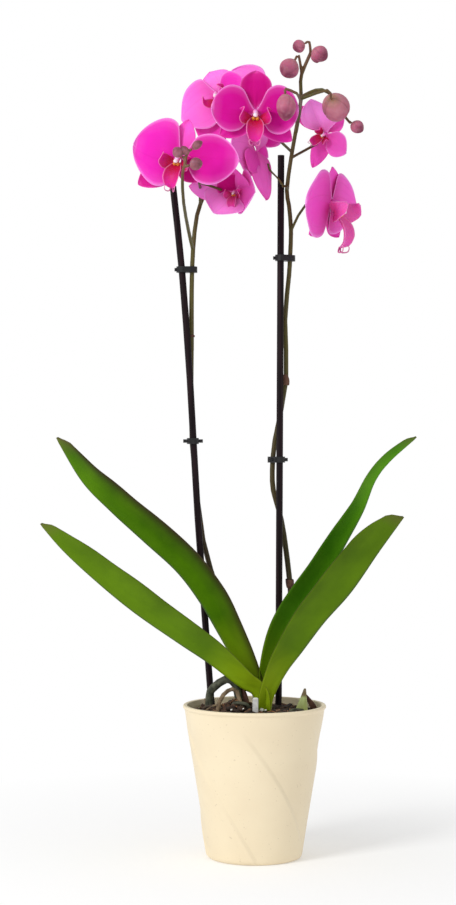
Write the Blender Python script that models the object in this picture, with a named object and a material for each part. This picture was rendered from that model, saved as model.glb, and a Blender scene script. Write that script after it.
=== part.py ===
"""Potted moth orchid with two flower spikes, in a cream cover pot with spiral ridges.

Units are metres and +Z is up. The origin is the centre of the pot's flat underside.
-Y is the side that the flowers face. Every point of the plant is given by its place
sideways and its height above the pot's rim, so the plant follows the pot's height.
"""

import math
from collections import namedtuple

import bmesh
import bpy
from mathutils import Vector

# Clearance between pieces that touch.
GAP = 0.0003

# Cover pot
POT_HEIGHT = 0.137
POT_RIM_RADIUS = 0.0634
POT_FOOT_RADIUS = 0.0434
POT_WALL = 0.0030
POT_FLOOR = 0.0040
POT_FOOT_ROUND = 0.0050
FOOT_ROUND_STEPS = 3
LIP_HEIGHT = 0.0038
LIP_PROUD = 0.0009
LIP_ROUND = 0.0015
LIP_INNER_ROUND = 0.0010
POT_SIDES = 60

# Spiral ridges on the cover pot: a saw-tooth round the wall, which turns as it goes down
RIDGES = 5
RIDGE_PROUD = 0.0004
RIDGE_SUNK = 0.0009
RIDGE_DROP_SHARE = 0.14
RIDGE_TURN_PER_METRE = math.radians(725)
RIDGE_ANGLE = math.radians(-81)
RIDGE_START = 0.0170
RIDGE_FULL = 0.0420
POT_LEVELS = 9

# Grow pot, which stands in the cover pot
GROW_POT_DROP = 0.0065
GROW_POT_PLAY = 0.0012
GROW_POT_WALL = 0.0010
GROW_POT_FLOOR = 0.0014
DRAIN_HOLE_RADIUS = 0.0035
DRAIN_HOLE_RING = 0.0240
DRAIN_HOLES = 5
DRAIN_HOLE_SIDES = 8
GROW_POT_SIDES = 36

# Bark medium
MEDIUM_DROP = 0.0085
MEDIUM_DOME = 0.0035
HUMP_HEIGHT = 0.0095
HUMP_PLACE = (-0.25, -0.20)
HUMP_SPREAD = 0.0120
MEDIUM_RINGS = 6

# Crown: the short stem under the leaves
CROWN_PLACE = (0.0070, -0.0050)
CROWN_RADIUS = 0.0090
CROWN_TOP = 0.0150
CROWN_DEPTH = 0.0290
CROWN_PROFILE = (0.55, 0.80, 0.95, 1.00, 1.00, 0.95, 0.75)
CROWN_SIDES = 16

# Stakes and clips
STAKE_RADIUS = 0.0031
STAKE_DEPTH = 0.0850
STAKE_FOOT_INWARD = 0.66
STAKE_SIDES = 10
CLIP_WALL = 0.0016
CLIP_HEIGHT = 0.0055
CLIP_TAB_REACH = 0.0090
CLIP_TAB_RADIUS = 0.0016
CLIP_END_STEPS = 6
TAB_PLACE_SHARE = 0.25
TAB_SIDES = 8

# Flower spikes, side stalks and roots
SPIKE_FOOT_RADIUS = 0.0029
SPIKE_TOP_RADIUS = 0.0017
STALK_FOOT_RADIUS = 0.0015
STALK_RADIUS = 0.0013
STALK_BEND = 0.0220
STALK_BEND_SHARE = 0.45
STALK_SIDES = 6
BRANCH_RADIUS = 0.0019
BRANCH_SIDES = 8
ROUND_SIDES = 9

# Buds
BUD_STATIONS = 8
BUD_END_SHARE = 0.14
BUD_FULLEST_POWER = 0.85

# Leaves
LEAF_HALF_WIDTH = 0.0290
LEAF_FOLD = math.radians(36)
LEAF_FOOT_SHARE = 0.34
LEAF_EDGE = 0.0009
LEAF_MIDRIB = 0.0026
LEAF_RIB_FADE = 0.45
LEAF_TIP_POWER = 2.2
LEAF_TIP_SHARE = 0.06
LEAF_STATIONS = 15

# Flowers
PETAL_THICKNESS = 0.0011
PETAL_WIDTH_SHARE = 0.55
SEPAL_LENGTH_SHARE = 0.95
SEPAL_WIDTH_SHARE = 0.34
LOBE_MIDDLE_SHARE = 0.47
LOBE_BLEND_POWER = 6
LOBE_RING_SHARES = (0.22, 0.62, 1.0)
FLOWER_SIDES = 36
COLUMN_LENGTH = 0.0100
COLUMN_RADIUS = 0.0030
COLUMN_PROFILE = (0.8, 0.75, 0.85, 1.0, 0.7)
COLUMN_SIDES = 8

# Lip. Each station is (drop below the flower's middle, reach forwards, half width), in lip steps.
LIP_STEP = 0.0050
LIP_STATIONS = (
    (0.72, 0.4, 0.5),
    (1.5, 1.4, 1.5),
    (2.5, 2.2, 1.6),
    (3.5, 2.6, 1.1),
    (4.4, 2.2, 0.4),
)
LIP_RIB = 0.0014
LIP_FOLD = math.radians(55)
LIP_SET_FORWARD = 1.8

# Routes. Each point is (x, y, height above the rim), chosen by hand.
# A stake's follows its side next to the spike, so its middle is a radius to the left and forwards.
STAKE_ROUTES = {
    "left": (
        (-0.0708, 0.0231, 0.4686),
        (-0.0627, 0.0251, 0.3923),
        (-0.0554, 0.0291, 0.2922),
        (-0.0482, 0.0351, 0.1642),
    ),
    "right": ((0.0276, 0.0271, 0.4974),),
}
# Where each stake enters the bark, and how far in it ends: shares of the pot's rim radius.
STAKE_FEET = {"left": (-0.620, 0.505), "right": (0.353, 0.473)}
SPIKE_ROUTES = {
    "left": (
        (-0.0030, 0.0110, 0.0110),
        (-0.0166, 0.0240, 0.0352),
        (-0.0248, 0.0330, 0.0563),
        (-0.0330, 0.0390, 0.0980),
        (-0.0468, 0.0410, 0.1456),
        (-0.0569, 0.0365, 0.2366),
        (-0.0572, 0.0300, 0.3290),
        (-0.0570, 0.0250, 0.3745),
        (-0.0557, 0.0215, 0.4105),
        (-0.0521, 0.0220, 0.4424),
        (-0.0448, 0.0230, 0.4631),
        (-0.0348, 0.0240, 0.4880),
        (-0.0257, 0.0300, 0.5195),
        (-0.0180, 0.0330, 0.5450),
    ),
    "right": (
        (0.0150, 0.0120, 0.0120),
        (0.0292, 0.0225, 0.0461),
        (0.0329, 0.0330, 0.0911),
        (0.0330, 0.0360, 0.1064),
        (0.0276, 0.0385, 0.1503),
        (0.0230, 0.0385, 0.1732),
        (0.0178, 0.0370, 0.1916),
        (0.0168, 0.0360, 0.2100),
        (0.0192, 0.0360, 0.2375),
        (0.0293, 0.0330, 0.2925),
        (0.0284, 0.0330, 0.3474),
        (0.0320, 0.0320, 0.3886),
        (0.0329, 0.0300, 0.4049),
        (0.0337, 0.0280, 0.4294),
        (0.0318, 0.0260, 0.4520),
        (0.0298, 0.0250, 0.4656),
        (0.0336, 0.0240, 0.4946),
        (0.0380, 0.0200, 0.5198),
        (0.0422, 0.0160, 0.5451),
        (0.0420, 0.0120, 0.5575),
        (0.0427, 0.0100, 0.5685),
        (0.0507, 0.0060, 0.5870),
    ),
}
CLIP_HEIGHTS = {"left": (0.2370, 0.3930), "right": (0.2200, 0.4040)}
# The roots' and the stub's places are shares of the pot's rim radius, with heights in metres.
ROOT_ROUTES = {
    "root_loop": (
        (-0.66, 0.08, -0.0220),
        (-0.64, 0.03, 0.0060),
        (-0.59, -0.03, 0.0146),
        (-0.40, -0.11, 0.0235),
        (-0.27, -0.12, 0.0185),
        (-0.22, -0.13, 0.0040),
    ),
    "root_tan": (
        (-0.57, -0.41, -0.0200),
        (-0.50, -0.39, 0.0045),
        (-0.38, -0.38, 0.0150),
        (-0.25, -0.35, 0.0140),
        (-0.16, -0.32, -0.0080),
    ),
}
STUB_ENDS = ((0.66, -0.09, -0.0120), (0.71, -0.08, 0.0150))
STUB_HALF_WIDTH = 0.0085
STUB_TIP_SHARE = 0.1
STUB_STATIONS = 5
STUB_RIB = 0.0018
STUB_TURN = math.radians(-26)
STUB_FOLD = math.radians(70)
ROOT_RADII = {"root_loop": 0.0038, "root_tan": 0.0020}

# fullest is the share of the leaf's length where it starts to narrow to its tip.
Leaf = namedtuple("Leaf", "name width fullest midrib")
LEAVES = (
    Leaf(
        "leaf_upper_left",
        1.00,
        0.55,
        (
            (-0.0016, 0.0045, 0.0130),
            (-0.0166, 0.0040, 0.0389),
            (-0.0320, 0.0040, 0.0659),
            (-0.0482, 0.0040, 0.0930),
            (-0.0689, 0.0030, 0.1201),
            (-0.0986, 0.0020, 0.1472),
            (-0.1283, 0.0000, 0.1743),
            (-0.1542, -0.0020, 0.2013),
            (-0.1774, -0.0040, 0.2400),
        ),
    ),
    Leaf(
        "leaf_lower_left",
        0.88,
        0.55,
        (
            (0.0005, -0.0135, 0.0112),
            (-0.0132, -0.0180, 0.0200),
            (-0.0381, -0.0240, 0.0398),
            (-0.0673, -0.0300, 0.0597),
            (-0.1062, -0.0330, 0.0867),
            (-0.1388, -0.0340, 0.1133),
            (-0.1678, -0.0350, 0.1400),
            (-0.1888, -0.0360, 0.1639),
        ),
    ),
    Leaf(
        "leaf_upper_right",
        0.90,
        0.42,
        (
            (0.0138, 0.0045, 0.0130),
            (0.0175, 0.0040, 0.0299),
            (0.0293, 0.0030, 0.0642),
            (0.0482, 0.0020, 0.0932),
            (0.0670, 0.0000, 0.1203),
            (0.0822, -0.0020, 0.1474),
            (0.0965, -0.0040, 0.1744),
            (0.1071, -0.0060, 0.2014),
            (0.1204, -0.0080, 0.2193),
            (0.1444, -0.0100, 0.2408),
        ),
    ),
    Leaf(
        "leaf_lower_right",
        1.06,
        0.62,
        (
            (0.0175, -0.0150, 0.0120),
            (0.0269, -0.0180, 0.0323),
            (0.0402, -0.0240, 0.0505),
            (0.0604, -0.0290, 0.0775),
            (0.0841, -0.0320, 0.1044),
            (0.1087, -0.0340, 0.1399),
            (0.1305, -0.0360, 0.1701),
        ),
    ),
)

# turn is to the right of -Y, tilt is upwards, and roll is anticlockwise seen from the front,
# all in degrees. stalk_height is where the flower's stalk leaves its spike, above the rim,
# and stalk_via holds the places that the stalk passes.
Flower = namedtuple(
    "Flower",
    "centre turn tilt roll span petal_fold sepal_fold spike stalk_height stalk_via",
)
FLOWERS = (
    Flower((-0.0590, -0.0480, 0.4849), -22, -4, -10, 0.104, 14, -6, "left", 0.452, ()),
    Flower((-0.0337, -0.0060, 0.5449), -26, 4, 33, 0.084, 6, -18, "left", 0.500, ()),
    Flower((0.0030, 0.0560, 0.5430), 165, 14, 20, 0.076, 8, -6, "left", 0.540, ()),
    Flower((0.0000, -0.0660, 0.5213), 0, 0, -2, 0.077, 8, -8, "right", 0.500, ()),
    Flower(
        (0.0013, 0.0120, 0.4850),
        -72,
        -10,
        10,
        0.078,
        8,
        -6,
        "right",
        0.466,
        ((0.0290, 0.0150, 0.4680), (0.0190, 0.0130, 0.4700)),
    ),
    Flower((-0.0270, -0.0220, 0.4590), 105, -15, 0, 0.062, 36, 14, "left", 0.462, ()),
    Flower((0.0662, 0.0370, 0.5167), -15, -10, -59, 0.062, 8, -8, "right", 0.495, ()),
    Flower((0.0665, -0.0060, 0.4440), 60, -16, 0, 0.090, 4, -6, "right", 0.429, ()),
)

# A bud's tip points away from its stalk, which starts at stalk_foot on the spike or a branch.
Bud = namedtuple("Bud", "name side centre length radius pointing stalk_foot")
BUD_BRANCHES = {
    "left": (
        (-0.0560, 0.0218, 0.4120),
        (-0.0592, -0.0100, 0.4250),
        (-0.0625, -0.0600, 0.4440),
        (-0.0628, -0.0900, 0.4640),
        (-0.0600, -0.0960, 0.4740),
    ),
    "right": (
        (0.0418, 0.0145, 0.5480),
        (0.0497, -0.0020, 0.5500),
        (0.0603, -0.0080, 0.5515),
        (0.0709, -0.0100, 0.5439),
        (0.0786, -0.0160, 0.5285),
        (0.0844, -0.0240, 0.5192),
    ),
    "front": (
        (0.0380, 0.0200, 0.5180),
        (0.0405, -0.0150, 0.5330),
        (0.0390, -0.0550, 0.5345),
        (0.0350, -0.0780, 0.5360),
    ),
}
BRANCH_SPIKES = {"left": "left", "right": "right", "front": "right"}
BUDS = (
    Bud(
        "bud_left_1",
        "left",
        (-0.0664, -0.098, 0.4820),
        0.0100,
        0.0042,
        (-0.6, -0.3, 0.6),
        (-0.0605, -0.0950, 0.4720),
    ),
    Bud(
        "bud_left_2",
        "left",
        (-0.0500, -0.098, 0.4880),
        0.0105,
        0.0034,
        (0.7, -0.2, 0.5),
        (-0.0600, -0.0960, 0.4740),
    ),
    Bud(
        "bud_left_3",
        "left",
        (-0.0510, -0.100, 0.4715),
        0.0115,
        0.0050,
        (0.8, -0.4, 0.1),
        (-0.0600, -0.0950, 0.4700),
    ),
    Bud(
        "bud_top_1",
        "right",
        (0.0310, 0.0000, 0.5725),
        0.0190,
        0.0080,
        (-0.5, -0.3, -0.7),
        (0.0427, 0.0100, 0.5690),
    ),
    Bud(
        "bud_top_2",
        "right",
        (0.0400, 0.0000, 0.5920),
        0.0120,
        0.0052,
        (-0.6, -0.2, -0.3),
        (0.0507, 0.0060, 0.5868),
    ),
    Bud(
        "bud_top_3",
        "right",
        (0.0585, 0.0010, 0.5845),
        0.0160,
        0.0070,
        (0.7, -0.3, -0.5),
        (0.0507, 0.0060, 0.5868),
    ),
    Bud(
        "bud_front",
        "right",
        (0.0255, -0.0840, 0.5225),
        0.0240,
        0.0082,
        (0.0, -0.2, -1.0),
        (0.0350, -0.0775, 0.5358),
    ),
    Bud(
        "bud_right_1",
        "right",
        (0.0702, -0.0360, 0.5300),
        0.0270,
        0.0115,
        (0.25, 0.75, -0.4),
        (0.0390, -0.0545, 0.5345),
    ),
    Bud(
        "bud_right_2",
        "right",
        (0.0903, -0.0300, 0.5141),
        0.0130,
        0.0055,
        (0.7, -0.3, -0.6),
        (0.0844, -0.0240, 0.5192),
    ),
)


def above_rim(point):
    """A place and a height above the rim, as a point in the part's frame."""
    return Vector((point[0], point[1], POT_HEIGHT + point[2]))


def in_rim(point):
    """As above_rim, with the place given in shares of the rim's radius."""
    return above_rim((point[0] * POT_RIM_RADIUS, point[1] * POT_RIM_RADIUS, point[2]))


def material(name, colour, roughness):
    made = bpy.data.materials.new(name)
    made.use_nodes = True
    shader = made.node_tree.nodes["Principled BSDF"]
    shader.inputs["Base Color"].default_value = (*colour, 1.0)
    shader.inputs["Roughness"].default_value = roughness
    return made


def finish_mesh(name, shape, skin):
    """Turn a closed bmesh into a smooth-shaded object with its faces pointing out."""
    bmesh.ops.recalc_face_normals(shape, faces=shape.faces)
    mesh = bpy.data.meshes.new(name)
    shape.to_mesh(mesh)
    shape.free()
    mesh.materials.append(skin)
    mesh.shade_smooth()
    mesh.set_sharp_from_angle(angle=math.radians(40))
    made = bpy.data.objects.new(name, mesh)
    bpy.context.scene.collection.objects.link(made)
    return made


def bridge(shape, lower, upper):
    """Join two rings of as many vertices with a band of quads."""
    count = len(lower)
    for i in range(count):
        j = (i + 1) % count
        shape.faces.new((lower[i], lower[j], upper[j], upper[i]))


def fan(shape, ring, tip):
    """Close a ring with triangles to one vertex."""
    for i, vertex in enumerate(ring):
        shape.faces.new((vertex, ring[(i + 1) % len(ring)], tip))


def circle(radius, sides):
    """Points round a circle in the plane, starting on +X."""
    angles = (2 * math.pi * i / sides for i in range(sides))
    return [(radius * math.cos(a), radius * math.sin(a)) for a in angles]


def loft(name, rings, skin):
    """A closed skin over rings of points, with flat ends."""
    shape = bmesh.new()
    made = [[shape.verts.new(point) for point in ring] for ring in rings]
    for lower, upper in zip(made, made[1:]):
        bridge(shape, lower, upper)
    shape.faces.new(made[0])
    shape.faces.new(made[-1])
    return finish_mesh(name, shape, skin)


def turned(name, profile, sides, skin):
    """Turn a profile of (radius, height) about Z. Its first and last points lie on the axis."""
    shape = bmesh.new()
    rings = []
    for radius, height in profile[1:-1]:
        rings.append([shape.verts.new((*spot, height)) for spot in circle(radius, sides)])
    for lower, upper in zip(rings, rings[1:]):
        bridge(shape, lower, upper)
    fan(shape, rings[0], shape.verts.new((0, 0, profile[0][1])))
    fan(shape, rings[-1], shape.verts.new((0, 0, profile[-1][1])))
    return finish_mesh(name, shape, skin)


def smooth_route(points, steps):
    """Points along a smooth curve through the given ones, with so many steps between each two."""
    points = [Vector(point) for point in points]
    padded = [2 * points[0] - points[1], *points, 2 * points[-1] - points[-2]]
    route = []
    for a, b, c, d in zip(padded, padded[1:], padded[2:], padded[3:]):
        for i in range(steps):
            t = i / steps
            curve = 2 * b + (c - a) * t + (2 * a - 5 * b + 4 * c - d) * t**2
            route.append((curve + (3 * b - a - 3 * c + d) * t**3) / 2)
    return [*route, points[-1]]


def directions_along(route):
    """The unit direction of travel at each point of a route."""
    ends = [route[0], *route, route[-1]]
    return [(after - before).normalized() for before, after in zip(ends, ends[2:])]


def tube(name, route, radii, sides, skin):
    """A round tube along a route, with a radius for each point and flat ends."""
    across = directions_along(route)[0].orthogonal()
    rings = []
    for point, way, radius in zip(route, directions_along(route), radii):
        across = (across - way * across.dot(way)).normalized()
        beside = way.cross(across)
        rings.append([point + across * u + beside * v for u, v in circle(radius, sides)])
    return loft(name, rings, skin)


def tapered(first, last, count):
    return [first + (last - first) * i / (count - 1) for i in range(count)]


def channel(name, stations, side, fold, rise_hint, skin):
    """A V-shaped blade: a leaf or a lip.

    Each station is (point on the midline, half width, edge thickness, midrib thickness).
    side points across the blade, and fold is how far each half opens from the rise direction.
    """
    rings = []
    ways = directions_along([station[0] for station in stations])
    for way, (point, half, edge, rib) in zip(ways, stations):
        rise = side.cross(way).normalized()
        if rise.dot(rise_hint) < 0:
            rise.negate()
        inner = []
        outer = []
        for share in (-1.0, -0.5, 0.0, 0.5, 1.0):
            sign = (share > 0) - (share < 0)
            blade = rise * math.cos(fold) * abs(share) + side * math.sin(fold) * share
            outward = side * math.cos(fold) * sign - rise * (math.sin(fold) if sign else 1.0)
            thick = rib + (edge - rib) * abs(share)
            inner.append(point + blade * half)
            outer.append(point + blade * half + outward * thick)
        rings.append(inner + outer[::-1])
    return loft(name, rings, skin)


def hide(helper):
    helper.hide_render = True
    helper.display_type = "WIRE"


def combine(target, helper, operation):
    hide(helper)
    step = target.modifiers.new(f"{operation.title()} {helper.name}", "BOOLEAN")
    step.operation = operation
    step.solver = "EXACT"
    step.object = helper


def swollen(source, by):
    """A helper the shape of a piece as it stands, with its skin moved outwards."""
    graph = bpy.context.evaluated_depsgraph_get()
    shape = bmesh.new()
    shape.from_object(source, graph)
    shape.normal_update()
    for vertex in shape.verts:
        vertex.co += vertex.normal * by
    return finish_mesh(f"{source.name}_room", shape, source.data.materials[0])


def seat(carrier, pieces, clearance=GAP * 1.5):
    """Cut room for each piece out of the piece that carries it."""
    for piece in pieces:
        combine(carrier, swollen(piece, clearance), "DIFFERENCE")


# ---- Pot ----


def wall_radius(height):
    """The outer radius of the cover pot's taper, without ridges or lip."""
    share = height / POT_HEIGHT
    return POT_FOOT_RADIUS + (POT_RIM_RADIUS - POT_FOOT_RADIUS) * share


def pot_inner_radius(height):
    return wall_radius(height) - POT_WALL


def ridge_offset(angle, height):
    """How far the wall stands out from its taper. angle is from -Y towards +X."""
    below = POT_HEIGHT - height
    fade = min(max((below - RIDGE_START) / (RIDGE_FULL - RIDGE_START), 0), 1)
    fade *= min(max(height / POT_FOOT_ROUND, 0), 1)
    turned_by = angle - RIDGE_ANGLE - RIDGE_TURN_PER_METRE * (below - RIDGE_START)
    share = turned_by * RIDGES / (2 * math.pi) % 1
    if share < 1 - RIDGE_DROP_SHARE:
        tooth = share / (1 - RIDGE_DROP_SHARE)
    else:
        tooth = (1 - share) / RIDGE_DROP_SHARE
    return fade * ((RIDGE_PROUD + RIDGE_SUNK) * tooth - RIDGE_SUNK)


def make_pot(skin):
    shape = bmesh.new()
    outline = []
    for i in range(FOOT_ROUND_STEPS + 1):
        a = math.pi / 2 * i / FOOT_ROUND_STEPS
        height = POT_FOOT_ROUND * (1 - math.cos(a))
        outline.append((wall_radius(height) - POT_FOOT_ROUND * (1 - math.sin(a)), height, 1))
    lip_foot = POT_HEIGHT - LIP_HEIGHT
    for i in range(1, POT_LEVELS):
        height = POT_FOOT_ROUND + (lip_foot - POT_FOOT_ROUND) * i / (POT_LEVELS - 1)
        outline.append((wall_radius(height), height, 1))
    lip = wall_radius(POT_HEIGHT) + LIP_PROUD
    inner = pot_inner_radius(POT_HEIGHT)
    outline.append((lip, lip_foot + LIP_PROUD, 0))
    outline.append((lip, POT_HEIGHT - LIP_INNER_ROUND, 0))
    outline.append((lip - LIP_ROUND, POT_HEIGHT, 0))
    outline.append((inner + LIP_INNER_ROUND, POT_HEIGHT, 0))
    outline.append((inner, POT_HEIGHT - LIP_INNER_ROUND, 0))
    outline.append((pot_inner_radius(POT_FLOOR), POT_FLOOR, 0))
    rings = []
    for radius, height, ridged in outline:
        ring = []
        for i in range(POT_SIDES):
            a = 2 * math.pi * i / POT_SIDES
            r = radius + ridged * ridge_offset(a, height)
            ring.append(shape.verts.new((r * math.sin(a), -r * math.cos(a), height)))
        rings.append(ring)
    for lower, upper in zip(rings, rings[1:]):
        bridge(shape, lower, upper)
    fan(shape, rings[0], shape.verts.new((0, 0, 0)))
    fan(shape, rings[-1], shape.verts.new((0, 0, POT_FLOOR)))
    return finish_mesh("pot", shape, skin)


def grow_pot_radius(height):
    """The outer radius of the grow pot."""
    return pot_inner_radius(height) - GROW_POT_PLAY


GROW_POT_FOOT = POT_FLOOR + GAP
GROW_POT_TOP = POT_HEIGHT - GROW_POT_DROP
MEDIUM_FOOT = GROW_POT_FOOT + GROW_POT_FLOOR + GAP
MEDIUM_EDGE = POT_HEIGHT - MEDIUM_DROP


def make_grow_pot(skin):
    profile = (
        (0, GROW_POT_FOOT),
        (grow_pot_radius(GROW_POT_FOOT), GROW_POT_FOOT),
        (grow_pot_radius(GROW_POT_TOP), GROW_POT_TOP),
        (grow_pot_radius(GROW_POT_TOP) - GROW_POT_WALL, GROW_POT_TOP),
        (grow_pot_radius(GROW_POT_FOOT) - GROW_POT_WALL, GROW_POT_FOOT + GROW_POT_FLOOR),
        (0, GROW_POT_FOOT + GROW_POT_FLOOR),
    )
    made = turned("grow_pot", profile, GROW_POT_SIDES, skin)
    rise = Vector((0, 0, GROW_POT_FLOOR * 2))
    for number, spot in enumerate(circle(DRAIN_HOLE_RING, DRAIN_HOLES), 1):
        centre = Vector((*spot, GROW_POT_FOOT))
        route = [centre - rise, centre + rise]
        hole = tube(f"drain_hole_{number}", route, [DRAIN_HOLE_RADIUS] * 2, DRAIN_HOLE_SIDES, skin)
        combine(made, hole, "DIFFERENCE")
    return made


def medium_height(x, y):
    """The top of the bark at a place: a low dome with one hump of coarse bark."""
    rim = grow_pot_radius(MEDIUM_EDGE)
    dome = MEDIUM_DOME * (1 - (x * x + y * y) / rim**2)
    hump = in_rim((*HUMP_PLACE, 0))
    away = (x - hump.x) ** 2 + (y - hump.y) ** 2
    return MEDIUM_EDGE + dome + HUMP_HEIGHT * math.exp(-away / (2 * HUMP_SPREAD**2))


def make_medium(skin):
    """The bark fills the grow pot from its floor to just under its rim."""
    shape = bmesh.new()
    top_radius = grow_pot_radius(MEDIUM_EDGE) - GROW_POT_WALL - GAP
    foot_radius = grow_pot_radius(MEDIUM_FOOT) - GROW_POT_WALL - GAP
    floor_ring = circle(foot_radius, GROW_POT_SIDES)
    rings = [[shape.verts.new((x, y, MEDIUM_FOOT)) for x, y in floor_ring]]
    for step in range(MEDIUM_RINGS, 0, -1):
        ring = []
        for x, y in circle(top_radius * step / MEDIUM_RINGS, GROW_POT_SIDES):
            height = MEDIUM_EDGE if step == MEDIUM_RINGS else medium_height(x, y)
            ring.append(shape.verts.new((x, y, height)))
        rings.append(ring)
    for lower, upper in zip(rings, rings[1:]):
        bridge(shape, lower, upper)
    fan(shape, rings[0], shape.verts.new((0, 0, MEDIUM_FOOT)))
    fan(shape, rings[-1], shape.verts.new((0, 0, medium_height(0, 0))))
    return finish_mesh("bark_medium", shape, skin)


# ---- Supports ----


def stake_route(side):
    """The stake's route, carried on down into the bark."""
    inset = Vector((STAKE_RADIUS, STAKE_RADIUS, 0))
    points = [above_rim(point) - inset for point in STAKE_ROUTES[side]]
    entry = in_rim((*STAKE_FEET[side], 0))
    foot = Vector((entry.x * STAKE_FOOT_INWARD, entry.y * STAKE_FOOT_INWARD, entry.z - STAKE_DEPTH))
    return [*smooth_route([*points, entry], 2), foot]


def make_stake(side, skin):
    route = stake_route(side)
    return tube(f"stake_{side}", route, [STAKE_RADIUS] * len(route), STAKE_SIDES, skin)


def at_height(route, height):
    """The point where a rising or falling route passes a height."""
    for a, b in zip(route, route[1:]):
        if (a.z - height) * (b.z - height) <= 0 and a.z != b.z:
            return a.lerp(b, (height - a.z) / (b.z - a.z))
    raise ValueError(f"the route doesn't pass {height}")


def make_clip(name, side, height, held, skin):
    """A small clip round the stake and the spike, with two finger tabs."""
    level = POT_HEIGHT + height
    stake = at_height(stake_route(side), level)
    spike = at_height(spike_route(side), level)
    spread = CLIP_WALL + GAP
    outline = []
    way = (spike - stake).to_2d().normalized()
    for centre, radius, start in ((spike, SPIKE_FOOT_RADIUS, -90), (stake, STAKE_RADIUS, 90)):
        for i in range(CLIP_END_STEPS + 1):
            a = math.atan2(way.y, way.x) + math.radians(start + 180 * i / CLIP_END_STEPS)
            reach = (radius + spread) * Vector((math.cos(a), math.sin(a)))
            outline.append(centre.to_2d() + reach)
    levels = (level - CLIP_HEIGHT / 2, level + CLIP_HEIGHT / 2)
    made = loft(name, [[(*point, z) for point in outline] for z in levels], skin)
    middle = stake.lerp(spike, TAB_PLACE_SHARE)
    tab = Vector((CLIP_TAB_REACH, 0, 0))
    tabs = tube(f"{name}_tabs", [middle - tab, middle + tab], [CLIP_TAB_RADIUS] * 2, TAB_SIDES, skin)
    combine(made, tabs, "UNION")
    seat(made, held)
    return made


# ---- Spikes, buds and roots ----


def spike_route(side):
    return smooth_route([above_rim(point) for point in SPIKE_ROUTES[side]], 2)


def stalk(name, foot, via, end, arriving, skin):
    """A thin stalk from a foot inside the spike to the back of a flower or bud."""
    reach = min((end - foot).length * STALK_BEND_SHARE, STALK_BEND)
    route = smooth_route([foot, *via, end - arriving * reach, end], 2)
    return tube(name, route, tapered(STALK_FOOT_RADIUS, STALK_RADIUS, len(route)), STALK_SIDES, skin)


def make_spike(side, flowers, skin):
    route = spike_route(side)
    radii = tapered(SPIKE_FOOT_RADIUS, SPIKE_TOP_RADIUS, len(route))
    made = tube(f"spike_{side}", route, radii, ROUND_SIDES, skin)
    for name, points in BUD_BRANCHES.items():
        if BRANCH_SPIKES[name] == side:
            branch = smooth_route([above_rim(point) for point in points], 2)
            radii = tapered(BRANCH_RADIUS, STALK_RADIUS, len(branch))
            side_branch = tube(f"branch_{name}", branch, radii, BRANCH_SIDES, skin)
            combine(made, side_branch, "UNION")
    for number, flower in flowers:
        foot = at_height(route, POT_HEIGHT + flower.stalk_height)
        _, _, forward, back = flower_frame(flower)
        via = [above_rim(point) for point in flower.stalk_via]
        helper = stalk(f"flower_stalk_{number}", foot, via, back, forward, skin)
        combine(made, helper, "UNION")
    for bud in BUDS:
        if bud.side != side:
            continue
        centre, pointing = bud_frame(bud)
        base = centre - pointing * (bud.length / 2 + GAP)
        foot = above_rim(bud.stalk_foot)
        helper = stalk(f"{bud.name}_stalk", foot, (), base, pointing, skin)
        combine(made, helper, "UNION")
    return made


def bud_frame(bud):
    return above_rim(bud.centre), Vector(bud.pointing).normalized()


def make_bud(bud, skin):
    """A pointed egg, fattest a little nearer its stalk."""
    centre, pointing = bud_frame(bud)
    route = []
    radii = []
    for i in range(BUD_STATIONS):
        share = i / (BUD_STATIONS - 1)
        route.append(centre + pointing * bud.length * (share - 0.5))
        swell = math.sin(math.pi * share**BUD_FULLEST_POWER)
        radii.append(bud.radius * max(swell, BUD_END_SHARE))
    return tube(bud.name, route, radii, ROUND_SIDES, skin)


def make_root(name, skin):
    route = smooth_route([in_rim(point) for point in ROOT_ROUTES[name]], 2)
    return tube(name, route, [ROOT_RADII[name]] * len(route), ROUND_SIDES, skin)


# ---- Leaves and crown ----


def make_leaf(leaf, skin):
    points = [above_rim(point) for point in leaf.midrib]
    dense = smooth_route(points, 8)
    stations = []
    for i in range(LEAF_STATIONS):
        share = i / (LEAF_STATIONS - 1)
        swell = LEAF_FOOT_SHARE + (1 - LEAF_FOOT_SHARE) * math.sin(math.pi / 2 * min(2 * share, 1))
        past = max(0, (share - leaf.fullest) / (1 - leaf.fullest))
        swell = max(swell * (1 - past**LEAF_TIP_POWER), LEAF_TIP_SHARE)
        rib = LEAF_MIDRIB * (1 - LEAF_RIB_FADE * share)
        point = dense[round(share * (len(dense) - 1))]
        stations.append((point, leaf.width * LEAF_HALF_WIDTH * swell, LEAF_EDGE, rib))
    side = Vector((0, 1, 0))
    return channel(leaf.name, stations, side, LEAF_FOLD, Vector((0, 0, 1)), skin)


def make_old_leaf_stub(skin):
    foot, tip = (in_rim(point) for point in STUB_ENDS)
    halves = tapered(STUB_HALF_WIDTH, STUB_HALF_WIDTH * STUB_TIP_SHARE, STUB_STATIONS)
    stations = []
    for i, half in enumerate(halves):
        point = foot.lerp(tip, i / (STUB_STATIONS - 1))
        stations.append((point, half, LEAF_EDGE, STUB_RIB))
    side = Vector((math.cos(STUB_TURN), math.sin(STUB_TURN), 0))
    return channel("old_leaf_stub", stations, side, STUB_FOLD, Vector((0, -1, 0)), skin)


def make_crown(skin):
    top = above_rim((*CROWN_PLACE, CROWN_TOP))
    steps = len(CROWN_PROFILE) - 1
    route = [top - Vector((0, 0, CROWN_DEPTH * (1 - i / steps))) for i in range(steps + 1)]
    radii = [CROWN_RADIUS * share for share in CROWN_PROFILE]
    return tube("crown", route, radii, CROWN_SIDES, skin)


# ---- Flowers ----


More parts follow.
